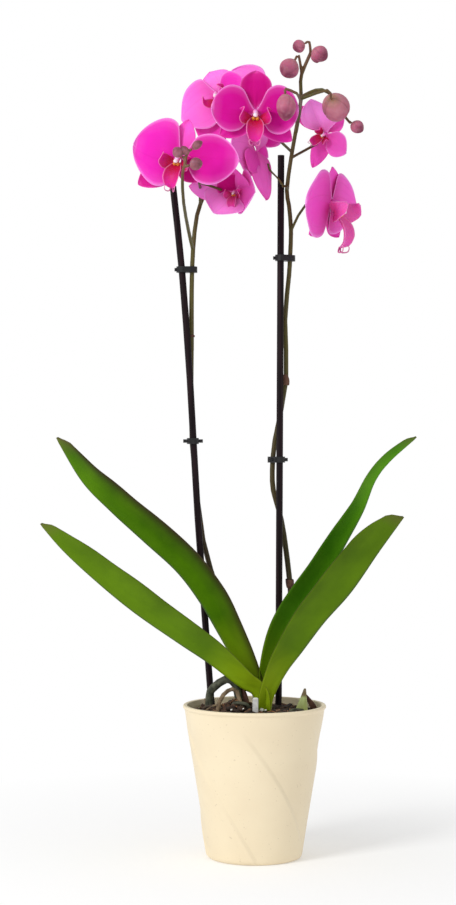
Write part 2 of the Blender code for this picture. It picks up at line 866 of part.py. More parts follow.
def flower_frame(flower):
    """The flower's right, up and forward directions, and the point behind it where its stalk ends."""
    turn = math.radians(flower.turn)
    tilt = math.radians(flower.tilt)
    roll = math.radians(flower.roll)
    forward = Vector((math.sin(turn) * math.cos(tilt), -math.cos(turn) * math.cos(tilt), math.sin(tilt)))
    level = Vector((math.cos(turn), math.sin(turn), 0))
    plumb = forward.cross(level)
    right = level * math.cos(roll) + plumb * math.sin(roll)
    up = plumb * math.cos(roll) - level * math.sin(roll)
    back = above_rim(flower.centre) - forward * (PETAL_THICKNESS + 4 * GAP)
    return right, up, forward, back


def lobe_reach(angle, length, half_width):
    """How far an oval lobe, which starts just behind the centre, reaches at an angle from its axis."""
    middle = LOBE_MIDDLE_SHARE * length
    long_half = length - middle
    a = (math.cos(angle) / long_half) ** 2 + (math.sin(angle) / half_width) ** 2
    b = -2 * middle * math.cos(angle) / long_half**2
    c = (middle / long_half) ** 2 - 1
    return (math.sqrt(b * b - 4 * a * c) - b) / (2 * a)


def blossom_layer(name, flower, lobes, level, skin):
    """Oval lobes round the flower's centre, as one thin closed sheet.

    Each lobe is (angle, length, half width, fold), and fold bends it forwards.
    """
    right, up, forward, _ = flower_frame(flower)
    centre = above_rim(flower.centre) + forward * level
    shape = bmesh.new()
    sheets = []
    for side in (0, 1):
        rings = [[], [], []]
        for i in range(FLOWER_SIDES):
            angle = 2 * math.pi * (i + 0.5) / FLOWER_SIDES
            reaches = [lobe_reach(angle - math.radians(a), long, half) for a, long, half, _ in lobes]
            weights = [reach**LOBE_BLEND_POWER for reach in reaches]
            fold = math.radians(sum(w * lobe[3] for w, lobe in zip(weights, lobes)) / sum(weights))
            out = right * math.cos(angle) + up * math.sin(angle)
            along = out * math.cos(fold) + forward * math.sin(fold)
            lift = forward * math.cos(fold) - out * math.sin(fold)
            for ring, share in zip(rings, LOBE_RING_SHARES):
                point = centre + along * max(reaches) * share + lift * side * PETAL_THICKNESS
                ring.append(shape.verts.new(point))
        fan(shape, rings[0], shape.verts.new(centre + forward * side * PETAL_THICKNESS))
        for inner, outer in zip(rings, rings[1:]):
            bridge(shape, inner, outer)
        sheets.append(rings[-1])
    bridge(shape, *sheets)
    return finish_mesh(name, shape, skin)


def make_flower(number, flower, skins):
    right, up, forward, _ = flower_frame(flower)
    name = f"flower_{number}"
    petal = flower.span / 2
    sepal = petal * SEPAL_LENGTH_SHARE
    petals = [(a, petal, petal * PETAL_WIDTH_SHARE, flower.petal_fold) for a in (0, 180)]
    sepals = [(a, sepal, sepal * SEPAL_WIDTH_SHARE, flower.sepal_fold) for a in (90, 210, 330)]
    blossom_layer(f"{name}_petals", flower, petals, 0, skins["petal"])
    blossom_layer(f"{name}_sepals", flower, sepals, -PETAL_THICKNESS - 2 * GAP, skins["petal"])
    steep = math.tan(math.radians(max(flower.petal_fold, 0)))
    foot = above_rim(flower.centre) + forward * (PETAL_THICKNESS + GAP + COLUMN_RADIUS * steep)
    steps = len(COLUMN_PROFILE) - 1
    route = [foot + forward * COLUMN_LENGTH * i / steps for i in range(steps + 1)]
    radii = [COLUMN_RADIUS * share for share in COLUMN_PROFILE]
    tube(f"{name}_column", route, radii, COLUMN_SIDES, skins["column"])
    set_forward = PETAL_THICKNESS + 2 * GAP + LIP_SET_FORWARD * LIP_STEP * steep
    lip_foot = above_rim(flower.centre) + forward * set_forward
    stations = []
    for drop, reach, half in LIP_STATIONS:
        point = lip_foot + (forward * reach - up * drop) * LIP_STEP
        stations.append((point, half * LIP_STEP, PETAL_THICKNESS, LIP_RIB))
    channel(f"{name}_lip", stations, right, LIP_FOLD, forward + up, skins["lip"])


def main():
    for old in list(bpy.data.objects):
        bpy.data.objects.remove(old, do_unlink=True)
    cream = material("cream_plastic", (0.87, 0.78, 0.60), 0.5)
    black = material("black_plastic", (0.02, 0.02, 0.02), 0.45)
    bark = material("bark", (0.16, 0.09, 0.05), 0.9)
    leaf_green = material("leaf_green", (0.13, 0.32, 0.03), 0.4)
    stem_green = material("stem_green", (0.12, 0.11, 0.03), 0.5)
    stake_dark = material("stake_dark", (0.03, 0.015, 0.025), 0.4)
    root_grey = material("root_grey", (0.35, 0.33, 0.24), 0.8)
    bud_pink = material("bud_pink", (0.45, 0.16, 0.24), 0.5)
    skins = {
        "petal": material("petal_magenta", (0.78, 0.03, 0.50), 0.5),
        "lip": material("lip_crimson", (0.60, 0.01, 0.12), 0.45),
        "column": material("column_pale", (0.85, 0.60, 0.75), 0.4),
    }

    make_pot(cream)
    make_grow_pot(black)
    medium = make_medium(bark)
    crown = make_crown(leaf_green)
    leaves = [make_leaf(leaf, leaf_green) for leaf in LEAVES]
    stub = make_old_leaf_stub(leaf_green)
    roots = [make_root(name, root_grey) for name in ROOT_ROUTES]
    bedded = [crown, stub, *roots]
    stakes = {side: make_stake(side, stake_dark) for side in STAKE_ROUTES}
    numbered = list(enumerate(FLOWERS, 1))
    spikes = {}
    for side in SPIKE_ROUTES:
        carried = [pair for pair in numbered if pair[1].spike == side]
        spikes[side] = make_spike(side, carried, stem_green)
        for number, height in enumerate(CLIP_HEIGHTS[side], 1):
            held = (stakes[side], spikes[side])
            make_clip(f"clip_{side}_{number}", side, height, held, black)
    seat(crown, [*leaves, *spikes.values(), *roots])
    seat(medium, [*bedded, *stakes.values()])
    for bud in BUDS:
        make_bud(bud, bud_pink)
    for number, flower in numbered:
        make_flower(number, flower, skins)


main()
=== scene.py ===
"""Looks of a potted moth orchid: two staked spikes of magenta flowers in a cream cover pot.

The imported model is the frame. Each flower, bud, leaf and stem is remade here in fine mesh at
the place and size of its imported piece. The stakes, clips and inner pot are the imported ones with
new finishes. Units are metres unless a table says otherwise, +Z is up, -Y is the flowers' side.
"""

import math
import random
from collections import namedtuple

import bpy
import numpy as np
from mathutils import Euler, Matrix, Quaternion, Vector, noise


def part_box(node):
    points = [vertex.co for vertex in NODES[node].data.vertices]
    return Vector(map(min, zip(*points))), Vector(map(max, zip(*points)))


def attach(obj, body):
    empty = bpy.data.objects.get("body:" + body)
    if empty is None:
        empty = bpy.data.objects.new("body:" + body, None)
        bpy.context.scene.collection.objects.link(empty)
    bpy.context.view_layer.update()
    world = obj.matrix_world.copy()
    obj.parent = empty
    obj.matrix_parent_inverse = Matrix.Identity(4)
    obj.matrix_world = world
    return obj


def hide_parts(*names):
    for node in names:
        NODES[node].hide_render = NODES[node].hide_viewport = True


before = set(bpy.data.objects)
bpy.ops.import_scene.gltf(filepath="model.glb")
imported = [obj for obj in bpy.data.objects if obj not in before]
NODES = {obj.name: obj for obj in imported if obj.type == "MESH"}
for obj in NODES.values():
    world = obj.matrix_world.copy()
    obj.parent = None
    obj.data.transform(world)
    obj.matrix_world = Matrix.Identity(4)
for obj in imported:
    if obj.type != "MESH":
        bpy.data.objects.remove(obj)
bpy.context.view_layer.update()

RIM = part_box("pot")[1].z
POT_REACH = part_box("pot")[1].x
MM = 1000

# ---- Meshes ----


def smooth(low, high, x):
    """0 up to low, 1 from high on, and a smooth step between."""
    t = np.clip((x - low) / (high - low), 0, 1)
    return t * t * (3 - 2 * t)


def unit(vector):
    vector = np.asarray(vector, float)
    return vector / np.linalg.norm(vector)


def linked(name, data):
    """A new object with the data, put in the scene."""
    made = bpy.data.objects.new(name, data)
    bpy.context.scene.collection.objects.link(made)
    return made


class Shape:
    """Sheets and tubes gathered into one mesh, each point with its own named values."""

    VALUES = ("along", "inset", "tone", "vein")

    def __init__(self):
        self.points = []
        self.faces = []
        self.values = {name: [] for name in self.VALUES}

    def grid(self, points, closed=False, capped=False, **values):
        """Quads over rows of points. closed joins a row's ends, capped fills the end rows."""
        rows, columns = points.shape[:2]
        first = len(self.points)
        self.points.extend(points.reshape(-1, 3).tolist())
        for i in range(rows - 1):
            for j in range(columns if closed else columns - 1):
                k = (j + 1) % columns
                a, b = first + i * columns, first + (i + 1) * columns
                self.faces.append((a + j, a + k, b + k, b + j))
        if capped:
            self.faces.append(tuple(range(first + columns - 1, first - 1, -1)))
            last = first + (rows - 1) * columns
            self.faces.append(tuple(range(last, last + columns)))
        for name in self.VALUES:
            spread = np.broadcast_to(values.get(name, 0.0), (rows, columns))
            self.values[name].extend(spread.reshape(-1).tolist())

    def tube(self, route, radii, sides=14, flat=1.0, **values):
        """A round or flattened tube along a route, closed at both ends."""
        route = np.asarray(route, float)
        radii = np.broadcast_to(radii, len(route))
        ways = np.gradient(route, axis=0)
        across = np.cross(ways[0], (0.31, 0.92, 0.24))
        angles = np.linspace(0, 2 * math.pi, sides, endpoint=False)
        rings = []
        for point, way, radius in zip(route, ways, radii):
            way = unit(way)
            across = unit(across - way * across.dot(way))
            beside = np.cross(way, across) * flat
            turn = np.outer(np.cos(angles), across) + np.outer(np.sin(angles), beside)
            rings.append(point + radius * turn)
        along = np.linspace(0, 1, len(route))[:, None]
        self.grid(np.array(rings), closed=True, capped=True, along=along, **values)

    def build(self, name, skin, thickness=0.0, smoothed=0):
        mesh = bpy.data.meshes.new(name)
        mesh.from_pydata(self.points, [], self.faces)
        for value, numbers in self.values.items():
            mesh.attributes.new(value, "FLOAT", "POINT").data.foreach_set("value", numbers)
        mesh.materials.append(skin)
        mesh.shade_smooth()
        made = linked(name, mesh)
        if thickness:
            shell = made.modifiers.new("Thickness", "SOLIDIFY")
            shell.thickness = thickness
            shell.offset = 0
        if smoothed:
            finer = made.modifiers.new("Smooth", "SUBSURF")
            finer.levels = smoothed
            finer.render_levels = smoothed
        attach(made, "root")
        return made


def route_through(points, steps):
    """A smooth curve through the given points, with so many steps between each two."""
    points = np.asarray(points, float)
    padded = np.vstack([2 * points[0] - points[1], points, 2 * points[-1] - points[-2]])
    route = []
    for a, b, c, d in zip(padded, padded[1:], padded[2:], padded[3:]):
        for t in np.arange(steps) / steps:
            curve = 2 * b + (c - a) * t + (2 * a - 5 * b + 4 * c - d) * t**2
            route.append((curve + (3 * b - a - 3 * c + d) * t**3) / 2)
    return np.array([*route, points[-1]])


def above_rim(points):
    """Points given in millimetres, their heights from the pot's rim."""
    return np.array(points) / MM + (0, 0, RIM)


def corners_of(node):
    return np.array([vertex.co for vertex in NODES[node].data.vertices])


def remade(node, name, skin, voxel, rounds, values=None):
    """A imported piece's own shape, remeshed fine and smoothed, standing for the piece."""
    mesh = NODES[node].data.copy()
    mesh.materials.clear()
    made = linked(name, mesh)
    remesh = made.modifiers.new("Remesh", "REMESH")
    remesh.mode = "VOXEL"
    remesh.voxel_size = voxel
    relax = made.modifiers.new("Relax", "SMOOTH")
    relax.factor = 0.5
    relax.iterations = rounds
    graph = bpy.context.evaluated_depsgraph_get()
    fine = bpy.data.meshes.new_from_object(made.evaluated_get(graph))
    made.modifiers.clear()
    made.data = fine
    fine.name = name
    fine.materials.clear()
    fine.materials.append(skin)
    fine.shade_smooth()
    if values:
        spots = np.empty(len(fine.vertices) * 3, np.float32)
        fine.vertices.foreach_get("co", spots)
        for value, numbers in values(spots.reshape(-1, 3)).items():
            fine.attributes.new(value, "FLOAT", "POINT").data.foreach_set("value", numbers)
    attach(made, "root")
    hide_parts(node)
    return made


# ---- Materials ----


class Skin:
    """A Principled material and shorthand for the nodes that drive it."""

    DEPTH = 0.002  # how far light travels under the surface

    def __init__(self, name, roughness, gloss=0.5, glow=0.0):
        """gloss is the specular level, and glow how much light passes under the surface."""
        self.material = bpy.data.materials.new(name)
        self.material.use_nodes = True
        self.tree = self.material.node_tree
        self.shader = self.tree.nodes["Principled BSDF"]
        self.set(self.shader, {"Roughness": roughness, "Specular IOR Level": gloss})
        if glow:
            self.set(self.shader, {"Subsurface Weight": glow, "Subsurface Scale": self.DEPTH})

    def set(self, node, inputs):
        for socket, value in inputs.items():
            if isinstance(value, bpy.types.NodeSocket):
                self.tree.links.new(value, node.inputs[socket])
            else:
                node.inputs[socket].default_value = value

    def add(self, kind, inputs, **settings):
        node = self.tree.nodes.new("ShaderNode" + kind)
        for setting, value in settings.items():
            setattr(node, setting, value)
        self.set(node, inputs)
        return node

    def value(self, name):
        return self.add("Attribute", {}, attribute_name=name).outputs["Fac"]

    def place(self, stretch=(1, 1, 1)):
        spot = self.add("TexCoord", {}).outputs["Object"]
        return self.add("Mapping", {"Vector": spot, "Scale": stretch}).outputs["Vector"]

    def noise(self, scale, detail=3.0, stretch=(1, 1, 1)):
        inputs = {"Vector": self.place(stretch), "Scale": scale, "Detail": detail}
        return self.add("TexNoise", inputs).outputs["Fac"]

    def ramp(self, factor, *stops):
        """Colours or greys along a factor, each stop being (place, colour)."""
        node = self.add("ValToRGB", {"Fac": factor})
        marks = node.color_ramp.elements
        while len(marks) < len(stops):
            marks.new(0.5)
        for mark, (place, colour) in zip(marks, stops):
            mark.position = place
            mark.color = (*colour, 1) if isinstance(colour, tuple) else (colour,) * 3 + (1,)
        return node.outputs["Color"]

    def blend(self, factor, first, second, way="MIX"):
        node = self.add("Mix", {0: factor}, data_type="RGBA", blend_type=way)
        for socket, colour in ((6, first), (7, second)):
            self.set(node, {socket: (*colour, 1) if isinstance(colour, tuple) else colour})
        return node.outputs[2]

    def tint(self, body, mask, strength, colour):
        """Colour laid over the body where the mask says, at the given strength."""
        return self.blend(self.math("MULTIPLY", mask, strength), body, colour)

    def math(self, way, first, second):
        return self.add("Math", {0: first, 1: second}, operation=way).outputs[0]

    def colour(self, colour):
        self.set(self.shader, {"Base Color": colour})

    def bump(self, height, strength, distance):
        inputs = {"Height": height, "Strength": strength, "Distance": distance}
        self.set(self.shader, {"Normal": self.add("Bump", inputs).outputs["Normal"]})


PINK, PALEST = (0.97, 0.12, 0.63), (0.99, 0.34, 0.86)
PETAL_SCATTER = (1.0, 0.15, 0.6)
CLOUDING, PALENESS = 0.16, 0.6
# The crease green is painted shade: a dark line drawn along each leaf's midrib fold.
# The foot green is the leaf foot's own yellow-green, set paler as painted light over its shade.
CREASE_SHADE_GREEN, FOOT_GREEN_AND_LIGHT = (0.016, 0.040, 0.002), (0.40, 0.56, 0.012)
MARGIN_PURPLE = (0.030, 0.008, 0.010)
RIM_OLIVE, TIP_OLIVE = (0.06, 0.06, 0.012), (0.13, 0.12, 0.03)


def petal_skin(name, throat, deep, full, edge):
    """Velvety petal: deep at its foot, paler to its edge, with fine veins along it.
    How pale each lobe is comes from its tone, partly its own colour and partly painted light and
    shade.
    """
    skin = Skin(name, 0.6, gloss=0.05, glow=0.2)
    skin.set(skin.shader, {"Subsurface Radius": PETAL_SCATTER})
    cloud = skin.math("MULTIPLY", skin.noise(70.0), CLOUDING)
    # tone is each lobe's paleness: partly its own colour, partly painted light and shade.
    pale = skin.math("MULTIPLY", skin.math("ADD", skin.value("tone"), cloud), PALENESS)
    body = skin.ramp(pale, (0.03, deep), (0.3, full), (0.6, PINK), (0.95, PALEST))
    foot = skin.ramp(skin.value("along"), (0.0, 1.0), (0.42, 0.25), (0.75, 0.0))
    body = skin.tint(body, foot, 0.6, throat)
    veins = skin.ramp(skin.value("vein"), (0.0, 0.0), (0.12, 0.6), (0.45, 1.0))
    body = skin.tint(body, skin.math("SUBTRACT", 1.0, veins), 0.2, throat)
    rim = skin.ramp(skin.value("inset"), (0.0, 0.9), (0.04, 0.5), (0.12, 0.1), (0.4, 0.0))
    skin.colour(skin.blend(rim, body, edge))
    skin.bump(skin.math("ADD", veins, skin.noise(900.0, 2.0)), 0.18, 0.0004)
    return skin.material


def leaf_skin(name, shaded, bright):
    """Leathery leaf: mottled along its length, yellower at its foot and purple at its margins.
    The foot is set paler as painted light; a painted highlight and a line of painted shade run
    along the midrib.
    """
    leaf = Skin(name + "_leathery", 0.44, gloss=0.09)
    along, inset = leaf.value("along"), leaf.value("inset")
    body = leaf.ramp(leaf.noise(26.0, 5.0), (0.3, shaded), (0.7, bright))
    # Painted highlight: a band of the bright green along the midrib, fading away at the fold.
    body = leaf.blend(leaf.ramp(inset, (0.55, 0.0), (0.93, 0.45), (1.0, 0.0)), body, bright)
    # Painted shade: a dark green line along the midrib's fold, standing for the shade in the crease.
    body = leaf.blend(leaf.ramp(inset, (0.95, 0.0), (0.985, 0.55)), body, CREASE_SHADE_GREEN)
    # Yellow-green foot: its own colour, set paler as painted light over the leaves' shade.
    foot = leaf.ramp(along, (0.04, 1.0), (0.14, 0.6), (0.30, 0.0))
    body = leaf.tint(body, foot, 0.75, FOOT_GREEN_AND_LIGHT)
    lines = leaf.noise(170.0, 5.0, (0.10, 1, 0.10))
    body = leaf.blend(leaf.ramp(lines, (0.42, 0.0), (0.72, 0.35)), body, shaded)
    margin = leaf.ramp(inset, (0.0, 1.0), (0.06, 0.75), (0.30, 0.25), (0.6, 0.0))
    body = leaf.tint(body, margin, leaf.value("vein"), MARGIN_PURPLE)
    body = leaf.blend(leaf.ramp(inset, (0.0, 0.8), (0.03, 0.0)), body, RIM_OLIVE)
    leaf.colour(leaf.blend(leaf.ramp(along, (0.93, 0.0), (1.0, 0.7)), body, TIP_OLIVE))
    relief = leaf.math("ADD", leaf.noise(300.0, 4.0), leaf.math("MULTIPLY", lines, 1.5))
    leaf.bump(relief, 0.22, 0.0004)
    return leaf.material


# ---- Flowers ----

# angle is anticlockwise from the flower's right, and halves are the half widths on the far and
# near sides of that turn. Sizes are shares of the flower's reach. lift and curl are how far the
# lobe leans forwards at its foot and tip, and cup how far its edges do, in degrees. ruffle is the
# height of the waves in its edge. The value after ruffle is the lobe's paleness, from 0, deep
# magenta, through 0.5, full magenta, and 1, pink, to 1.5, palest. It is partly the lobe's own
# colour and partly painted light and shade: lobes that catch the light are set paler, lobes turned
# from it deeper, and lobes that lie in shadow paler to lift them. A higher full sets the widest
# place farther out.
LOBE_FIELDS = "angle length halves lift curl cup ruffle shade full"
Lobe = namedtuple("Lobe", LOBE_FIELDS, defaults=(1.0,))
BLOOMS = {
    1: (
        Lobe(175, 0.87, (0.60, 0.60), 4, 18, -12, 0.022, 0.42, 0.80),
        Lobe(4, 1.12, (0.42, 0.46), 8, -2, 14, 0.015, 0.12, 1.15),
        Lobe(91, 0.66, (0.22, 0.20), -8, -12, 12, 0.010, 0.85),
        Lobe(216, 1.00, (0.28, 0.26), -10, -4, 12, 0.010, 0.05),
        Lobe(318, 0.56, (0.26, 0.26), -10, -8, 12, 0.010, 0.05),
    ),
    2: (
        Lobe(178, 1.00, (0.54, 0.62), 6, 2, -12, 0.030, 1.02, 0.80),
        Lobe(-12, 0.66, (0.40, 0.40), -6, -4, -10, 0.020, 0.50),
        Lobe(84, 0.58, (0.42, 0.42), -6, 4, -8, 0.025, 1.2, 1.2),
        Lobe(208, 1.10, (0.54, 0.50), -12, -14, 10, 0.014, 0.55),
        Lobe(262, 1.02, (0.36, 0.36), -14, -20, 10, 0.010, 0.20),
    ),
    3: (
        Lobe(38, 1.20, (0.70, 0.56), 6, 6, -6, 0.035, 1.15, 1.5),
        Lobe(222, 1.00, (0.50, 0.46), 6, 10, -12, 0.030, 0.20),
        Lobe(136, 0.92, (0.32, 0.32), -6, -10, 10, 0.020, 0.10),
        Lobe(10, 0.98, (0.40, 0.34), -8, -4, 10, 0.015, 0.9),
        Lobe(262, 0.90, (0.32, 0.32), -8, -14, 10, 0.015, 0.10),
    ),
    4: (
        Lobe(178, 1.02, (0.50, 0.58), 6, 8, -16, 0.012, 0.04, 1.2),
        Lobe(3, 0.99, (0.60, 0.54), 6, 12, -16, 0.014, 0.06, 1.2),
        Lobe(91, 0.99, (0.37, 0.37), -8, -14, 14, 0.010, 0.0, 1.55),
        Lobe(215, 0.98, (0.30, 0.30), -10, -6, 12, 0.012, 0.40),
        Lobe(324, 1.06, (0.30, 0.30), -10, -4, 12, 0.012, 0.35),
    ),
    5: (
        Lobe(180, 0.50, (0.45, 0.40), 6, 10, -14, 0.020, 0.60),
        Lobe(350, 0.98, (0.74, 0.66), -4, -2, -14, 0.020, 1.15, 0.95),
        Lobe(90, 0.92, (0.34, 0.34), -8, -16, 12, 0.015, 1.3),
        Lobe(262, 1.22, (0.42, 0.42), -8, -2, 8, 0.012, 1.1, 0.62),
        Lobe(306, 0.80, (0.30, 0.30), -8, -10, 12, 0.010, 0.70),
    ),
    6: (
        Lobe(240, 1.24, (0.88, 0.88), 16, 56, 46, 0.020, 1.30, 1.15),
        Lobe(350, 1.20, (0.84, 0.84), 4, 46, 46, 0.020, 0.95, 1.10),
        Lobe(70, 0.96, (0.66, 0.66), 16, 56, 40, 0.015, 0.95, 1.2),
        Lobe(172, 1.90, (0.44, 0.40), 0, 2, 12, 0.030, 1.25, 1.15),
        Lobe(128, 0.86, (0.50, 0.50), 24, 56, 34, 0.015, 0.0),
    ),
    7: (
        Lobe(160, 1.20, (0.60, 0.66), 4, 34, 48, 0.015, 1.45, 1.00),
        Lobe(17, 0.90, (0.40, 0.40), 0, 16, 30, 0.015, 0.95, 1.20),
        Lobe(196, 1.22, (0.34, 0.34), -6, 20, 34, 0.010, 0.60, 1.50),
        Lobe(299, 1.22, (0.30, 0.30), -6, 0, 20, 0.010, 0.80, 0.8),
        Lobe(108, 0.86, (0.30, 0.30), -6, 0, 20, 0.010, 0.95),
    ),
    8: (
        Lobe(184, 1.34, (0.70, 0.66), 2, 2, -8, 0.018, 0.75, 0.75),
        Lobe(356, 0.92, (0.62, 0.62), 0, 20, -8, 0.018, 0.95, 0.62),
        Lobe(92, 0.70, (0.40, 0.40), -6, -2, 14, 0.012, 0.80, 0.8),
        Lobe(226, 0.96, (0.32, 0.32), -8, 4, 12, 0.012, 0.25),
        Lobe(308, 0.86, (0.34, 0.34), -8, 16, 12, 0.012, 0.60),
    ),
}
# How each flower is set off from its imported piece: sideways, upwards, a turn about the
# upright, a nod downwards, a roll, and the size and paleness of its lip.
SETTING_FIELDS = "aside rise turn nod roll lip blush"
Setting = namedtuple("Setting", SETTING_FIELDS, defaults=(0, 0, 0, 0, 0, 1, 0))
SETTINGS = {
    1: Setting(aside=-0.0060, rise=0.0010, lip=0.72),
    2: Setting(aside=0.0012, rise=0.0024, turn=-6, lip=0.75),
    3: Setting(),
    4: Setting(rise=0.0005, lip=0.95),
    5: Setting(aside=0.0010, rise=0.0140, turn=-58, lip=0.4),
    6: Setting(aside=0.0095, turn=48, nod=16, lip=0.85, blush=0.3),
    7: Setting(aside=0.0005, rise=0.0030, nod=16, lip=0.66),
    8: Setting(aside=0.0015, rise=0.0070, turn=4, nod=-6, roll=4, lip=1.12, blush=0.9),
}
PETALS, SEPALS = slice(0, 2), slice(2, 5)
PETAL_SHELL = 0.0005
LOBE_ROWS, LOBE_COLUMNS = 30, 27
PETAL_AHEAD, SEPAL_BEHIND = 0.0006, -0.0012
PETAL_BLUNT, SEPAL_BLUNT = 0.54, 0.68  # a smaller power makes a blunter lobe
MIDLINE_RISE, MIDLINE_REACH = 0.10, 0.16
RUFFLES, VEINS, SWELL = 9.0, 13.0, 0.045

Bloom = namedtuple("Bloom", "number hub right up forward reach lip blush")


def bloom_frame(number):
    """A flower's place, directions and half span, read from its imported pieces."""
    column = corners_of(f"flower_{number}_column")
    petals = corners_of(f"flower_{number}_petals")
    lip = corners_of(f"flower_{number}_lip")
    centre = (column.min(0) + column.max(0)) / 2
    spread = np.linalg.svd(column - column.mean(0), full_matrices=False)[2]
    forward = spread[0] * np.sign(spread[0].dot(centre - petals.mean(0)))
    along = (petals - centre) @ forward
    aside = np.linalg.norm(petals - centre - np.outer(along, forward), axis=1)
    hub = centre + forward * along[aside < aside.min() + 0.0002].mean()
    drop = lip.mean(0) - hub
    up = unit(forward * drop.dot(forward) - drop)
    right = np.cross(up, forward)
    reach = np.abs((petals - hub) @ right).max()
    setting = SETTINGS[number]
    for angle, axis in ((setting.nod, right), (setting.roll, forward), (setting.turn, (0, 0, 1))):
        swing = np.array(Quaternion(Vector(axis), math.radians(angle)).to_matrix())
        right, up, forward = swing @ right, swing @ up, swing @ forward
    hub = hub + (setting.aside, 0, setting.rise)
    return Bloom(number, hub, right, up, forward, reach, setting.lip, setting.blush)


def outline(share, broad, full):
    """Half width along a lobe: a narrow foot, fullest past the middle and a round tip."""
    body = np.sin(math.pi * share ** (0.92 * full)) ** (PETAL_BLUNT if broad else SEPAL_BLUNT)
    return body * (0.35 + 0.65 * smooth(0.0, 0.32 * min(full, 1) ** 2, share))


def add_lobe(shape, bloom, lobe, broad, seed):
    """One petal or sepal as a curved sheet."""
    rows = (1 - np.cos(np.linspace(0.03, 1, LOBE_ROWS) * math.pi)) / 2
    across = np.linspace(-1, 1, LOBE_COLUMNS)
    width = outline(np.minimum(rows, 0.9995), broad, lobe.full)
    point = bloom.hub + bloom.forward * (PETAL_AHEAD if broad else SEPAL_BEHIND)
    length = lobe.length * bloom.reach
    grid = np.empty((LOBE_ROWS, LOBE_COLUMNS, 3))
    previous = 0.0
    turn = math.radians(lobe.angle)
    outward = bloom.right * math.cos(turn) + bloom.up * math.sin(turn)
    side = bloom.up * math.cos(turn) - bloom.right * math.sin(turn)
    for i, share in enumerate(rows):
        lean = math.radians(lobe.lift + (lobe.curl - lobe.lift) * share)
        way = outward * math.cos(lean) + bloom.forward * math.sin(lean)
        face = bloom.forward * math.cos(lean) - outward * math.sin(lean)
        point = point + way * length * (share - previous)
        previous = share
        far, near = (half * bloom.reach * width[i] for half in lobe.halves)
        half = np.where(across > 0, far, near)
        cup = math.radians(lobe.cup) * (0.35 + 0.65 * share) + 1e-6
        flat = half * np.sin(cup * across) / cup
        rise = half * (1 - np.cos(cup * across)) / cup
        rise += half * MIDLINE_RISE * np.exp(-((across / MIDLINE_REACH) ** 2)) * (1 - share) ** 2
        wave = np.sin(RUFFLES * share + 2.3 * np.sign(across) + seed) * np.abs(across) ** 2.5
        rise += bloom.reach * lobe.ruffle * wave * (0.4 + share)
        for j in range(LOBE_COLUMNS):
            spot = Vector((share * 1.7, across[j] * 1.2, seed * 3.7))
            swell = noise.noise(spot) * SWELL * bloom.reach * share
            grid[i, j] = point + side * flat[j] + face * (rise[j] + swell)
    to_edge = (1 - np.abs(across))[None, :] * width[:, None]
    to_tip = np.broadcast_to(((1 - rows) * 1.5)[:, None], to_edge.shape)
    inset = np.minimum(to_edge, to_tip)
    ribs = np.abs(np.sin(across * VEINS + 0.5 * np.sin(seed + across * 4.0)))[None, :]
    # The lobe's paleness goes on as its tone: painted light and shade as well as its own colour.
    shape.grid(grid, along=rows[:, None], inset=inset, tone=lobe.shade, vein=ribs)


def local(bloom, points):
    """Points of a lip or column given as (right, up, forward) in shares of a flower's reach."""
    axes = np.array((bloom.right, bloom.up, bloom.forward))
    return bloom.hub + np.asarray(points, float) @ axes * bloom.reach * bloom.lip


def add_strip(shape, bloom, route, halves, side, cup):
    """A curved strip of a lip along a route of (right, up, forward) points."""
    line = route_through(local(bloom, route), 4)
    count = len(line)
    width = np.interp(np.linspace(0, 1, count), np.linspace(0, 1, len(halves)), halves)
    side = local(bloom, side) - bloom.hub
    across = np.linspace(-1, 1, 15)
    ways = np.gradient(line, axis=0)
    grid = np.empty((count, len(across), 3))
    for i in range(count):
        way = unit(ways[i])
        beside = unit(side - way * side.dot(way))
        face = np.cross(way, beside)
        bend = math.radians(cup)
        half = width[i] * bloom.reach * bloom.lip
        flat = half * np.sin(bend * across) / bend
        rise = half * (1 - np.cos(bend * across)) / bend
        grid[i] = line[i] + np.outer(flat, beside) + np.outer(rise, face)
    along = np.linspace(0, 1, count)[:, None]
    inset = np.minimum((1 - np.abs(across))[None, :], (1 - along) * 2)
    shape.grid(grid, along=along, inset=inset, tone=bloom.blush, vein=0.5)


def make_bloom(number, skins):
    bloom = bloom_frame(number)
    lobes = BLOOMS[number]
    for kind, chosen, slot in (("petals", PETALS, "petal"), ("sepals", SEPALS, "sepal")):
        shape = Shape()
        for i, lobe in enumerate(lobes[chosen]):
            add_lobe(shape, bloom, lobe, kind == "petals", number * 2.1 + i * 1.3)
        made = shape.build(f"bloom_{number}_{kind}", skins[slot], PETAL_SHELL)
        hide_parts(f"flower_{number}_{kind}")
    make_lip(bloom, skins)
    make_column(bloom, skins)


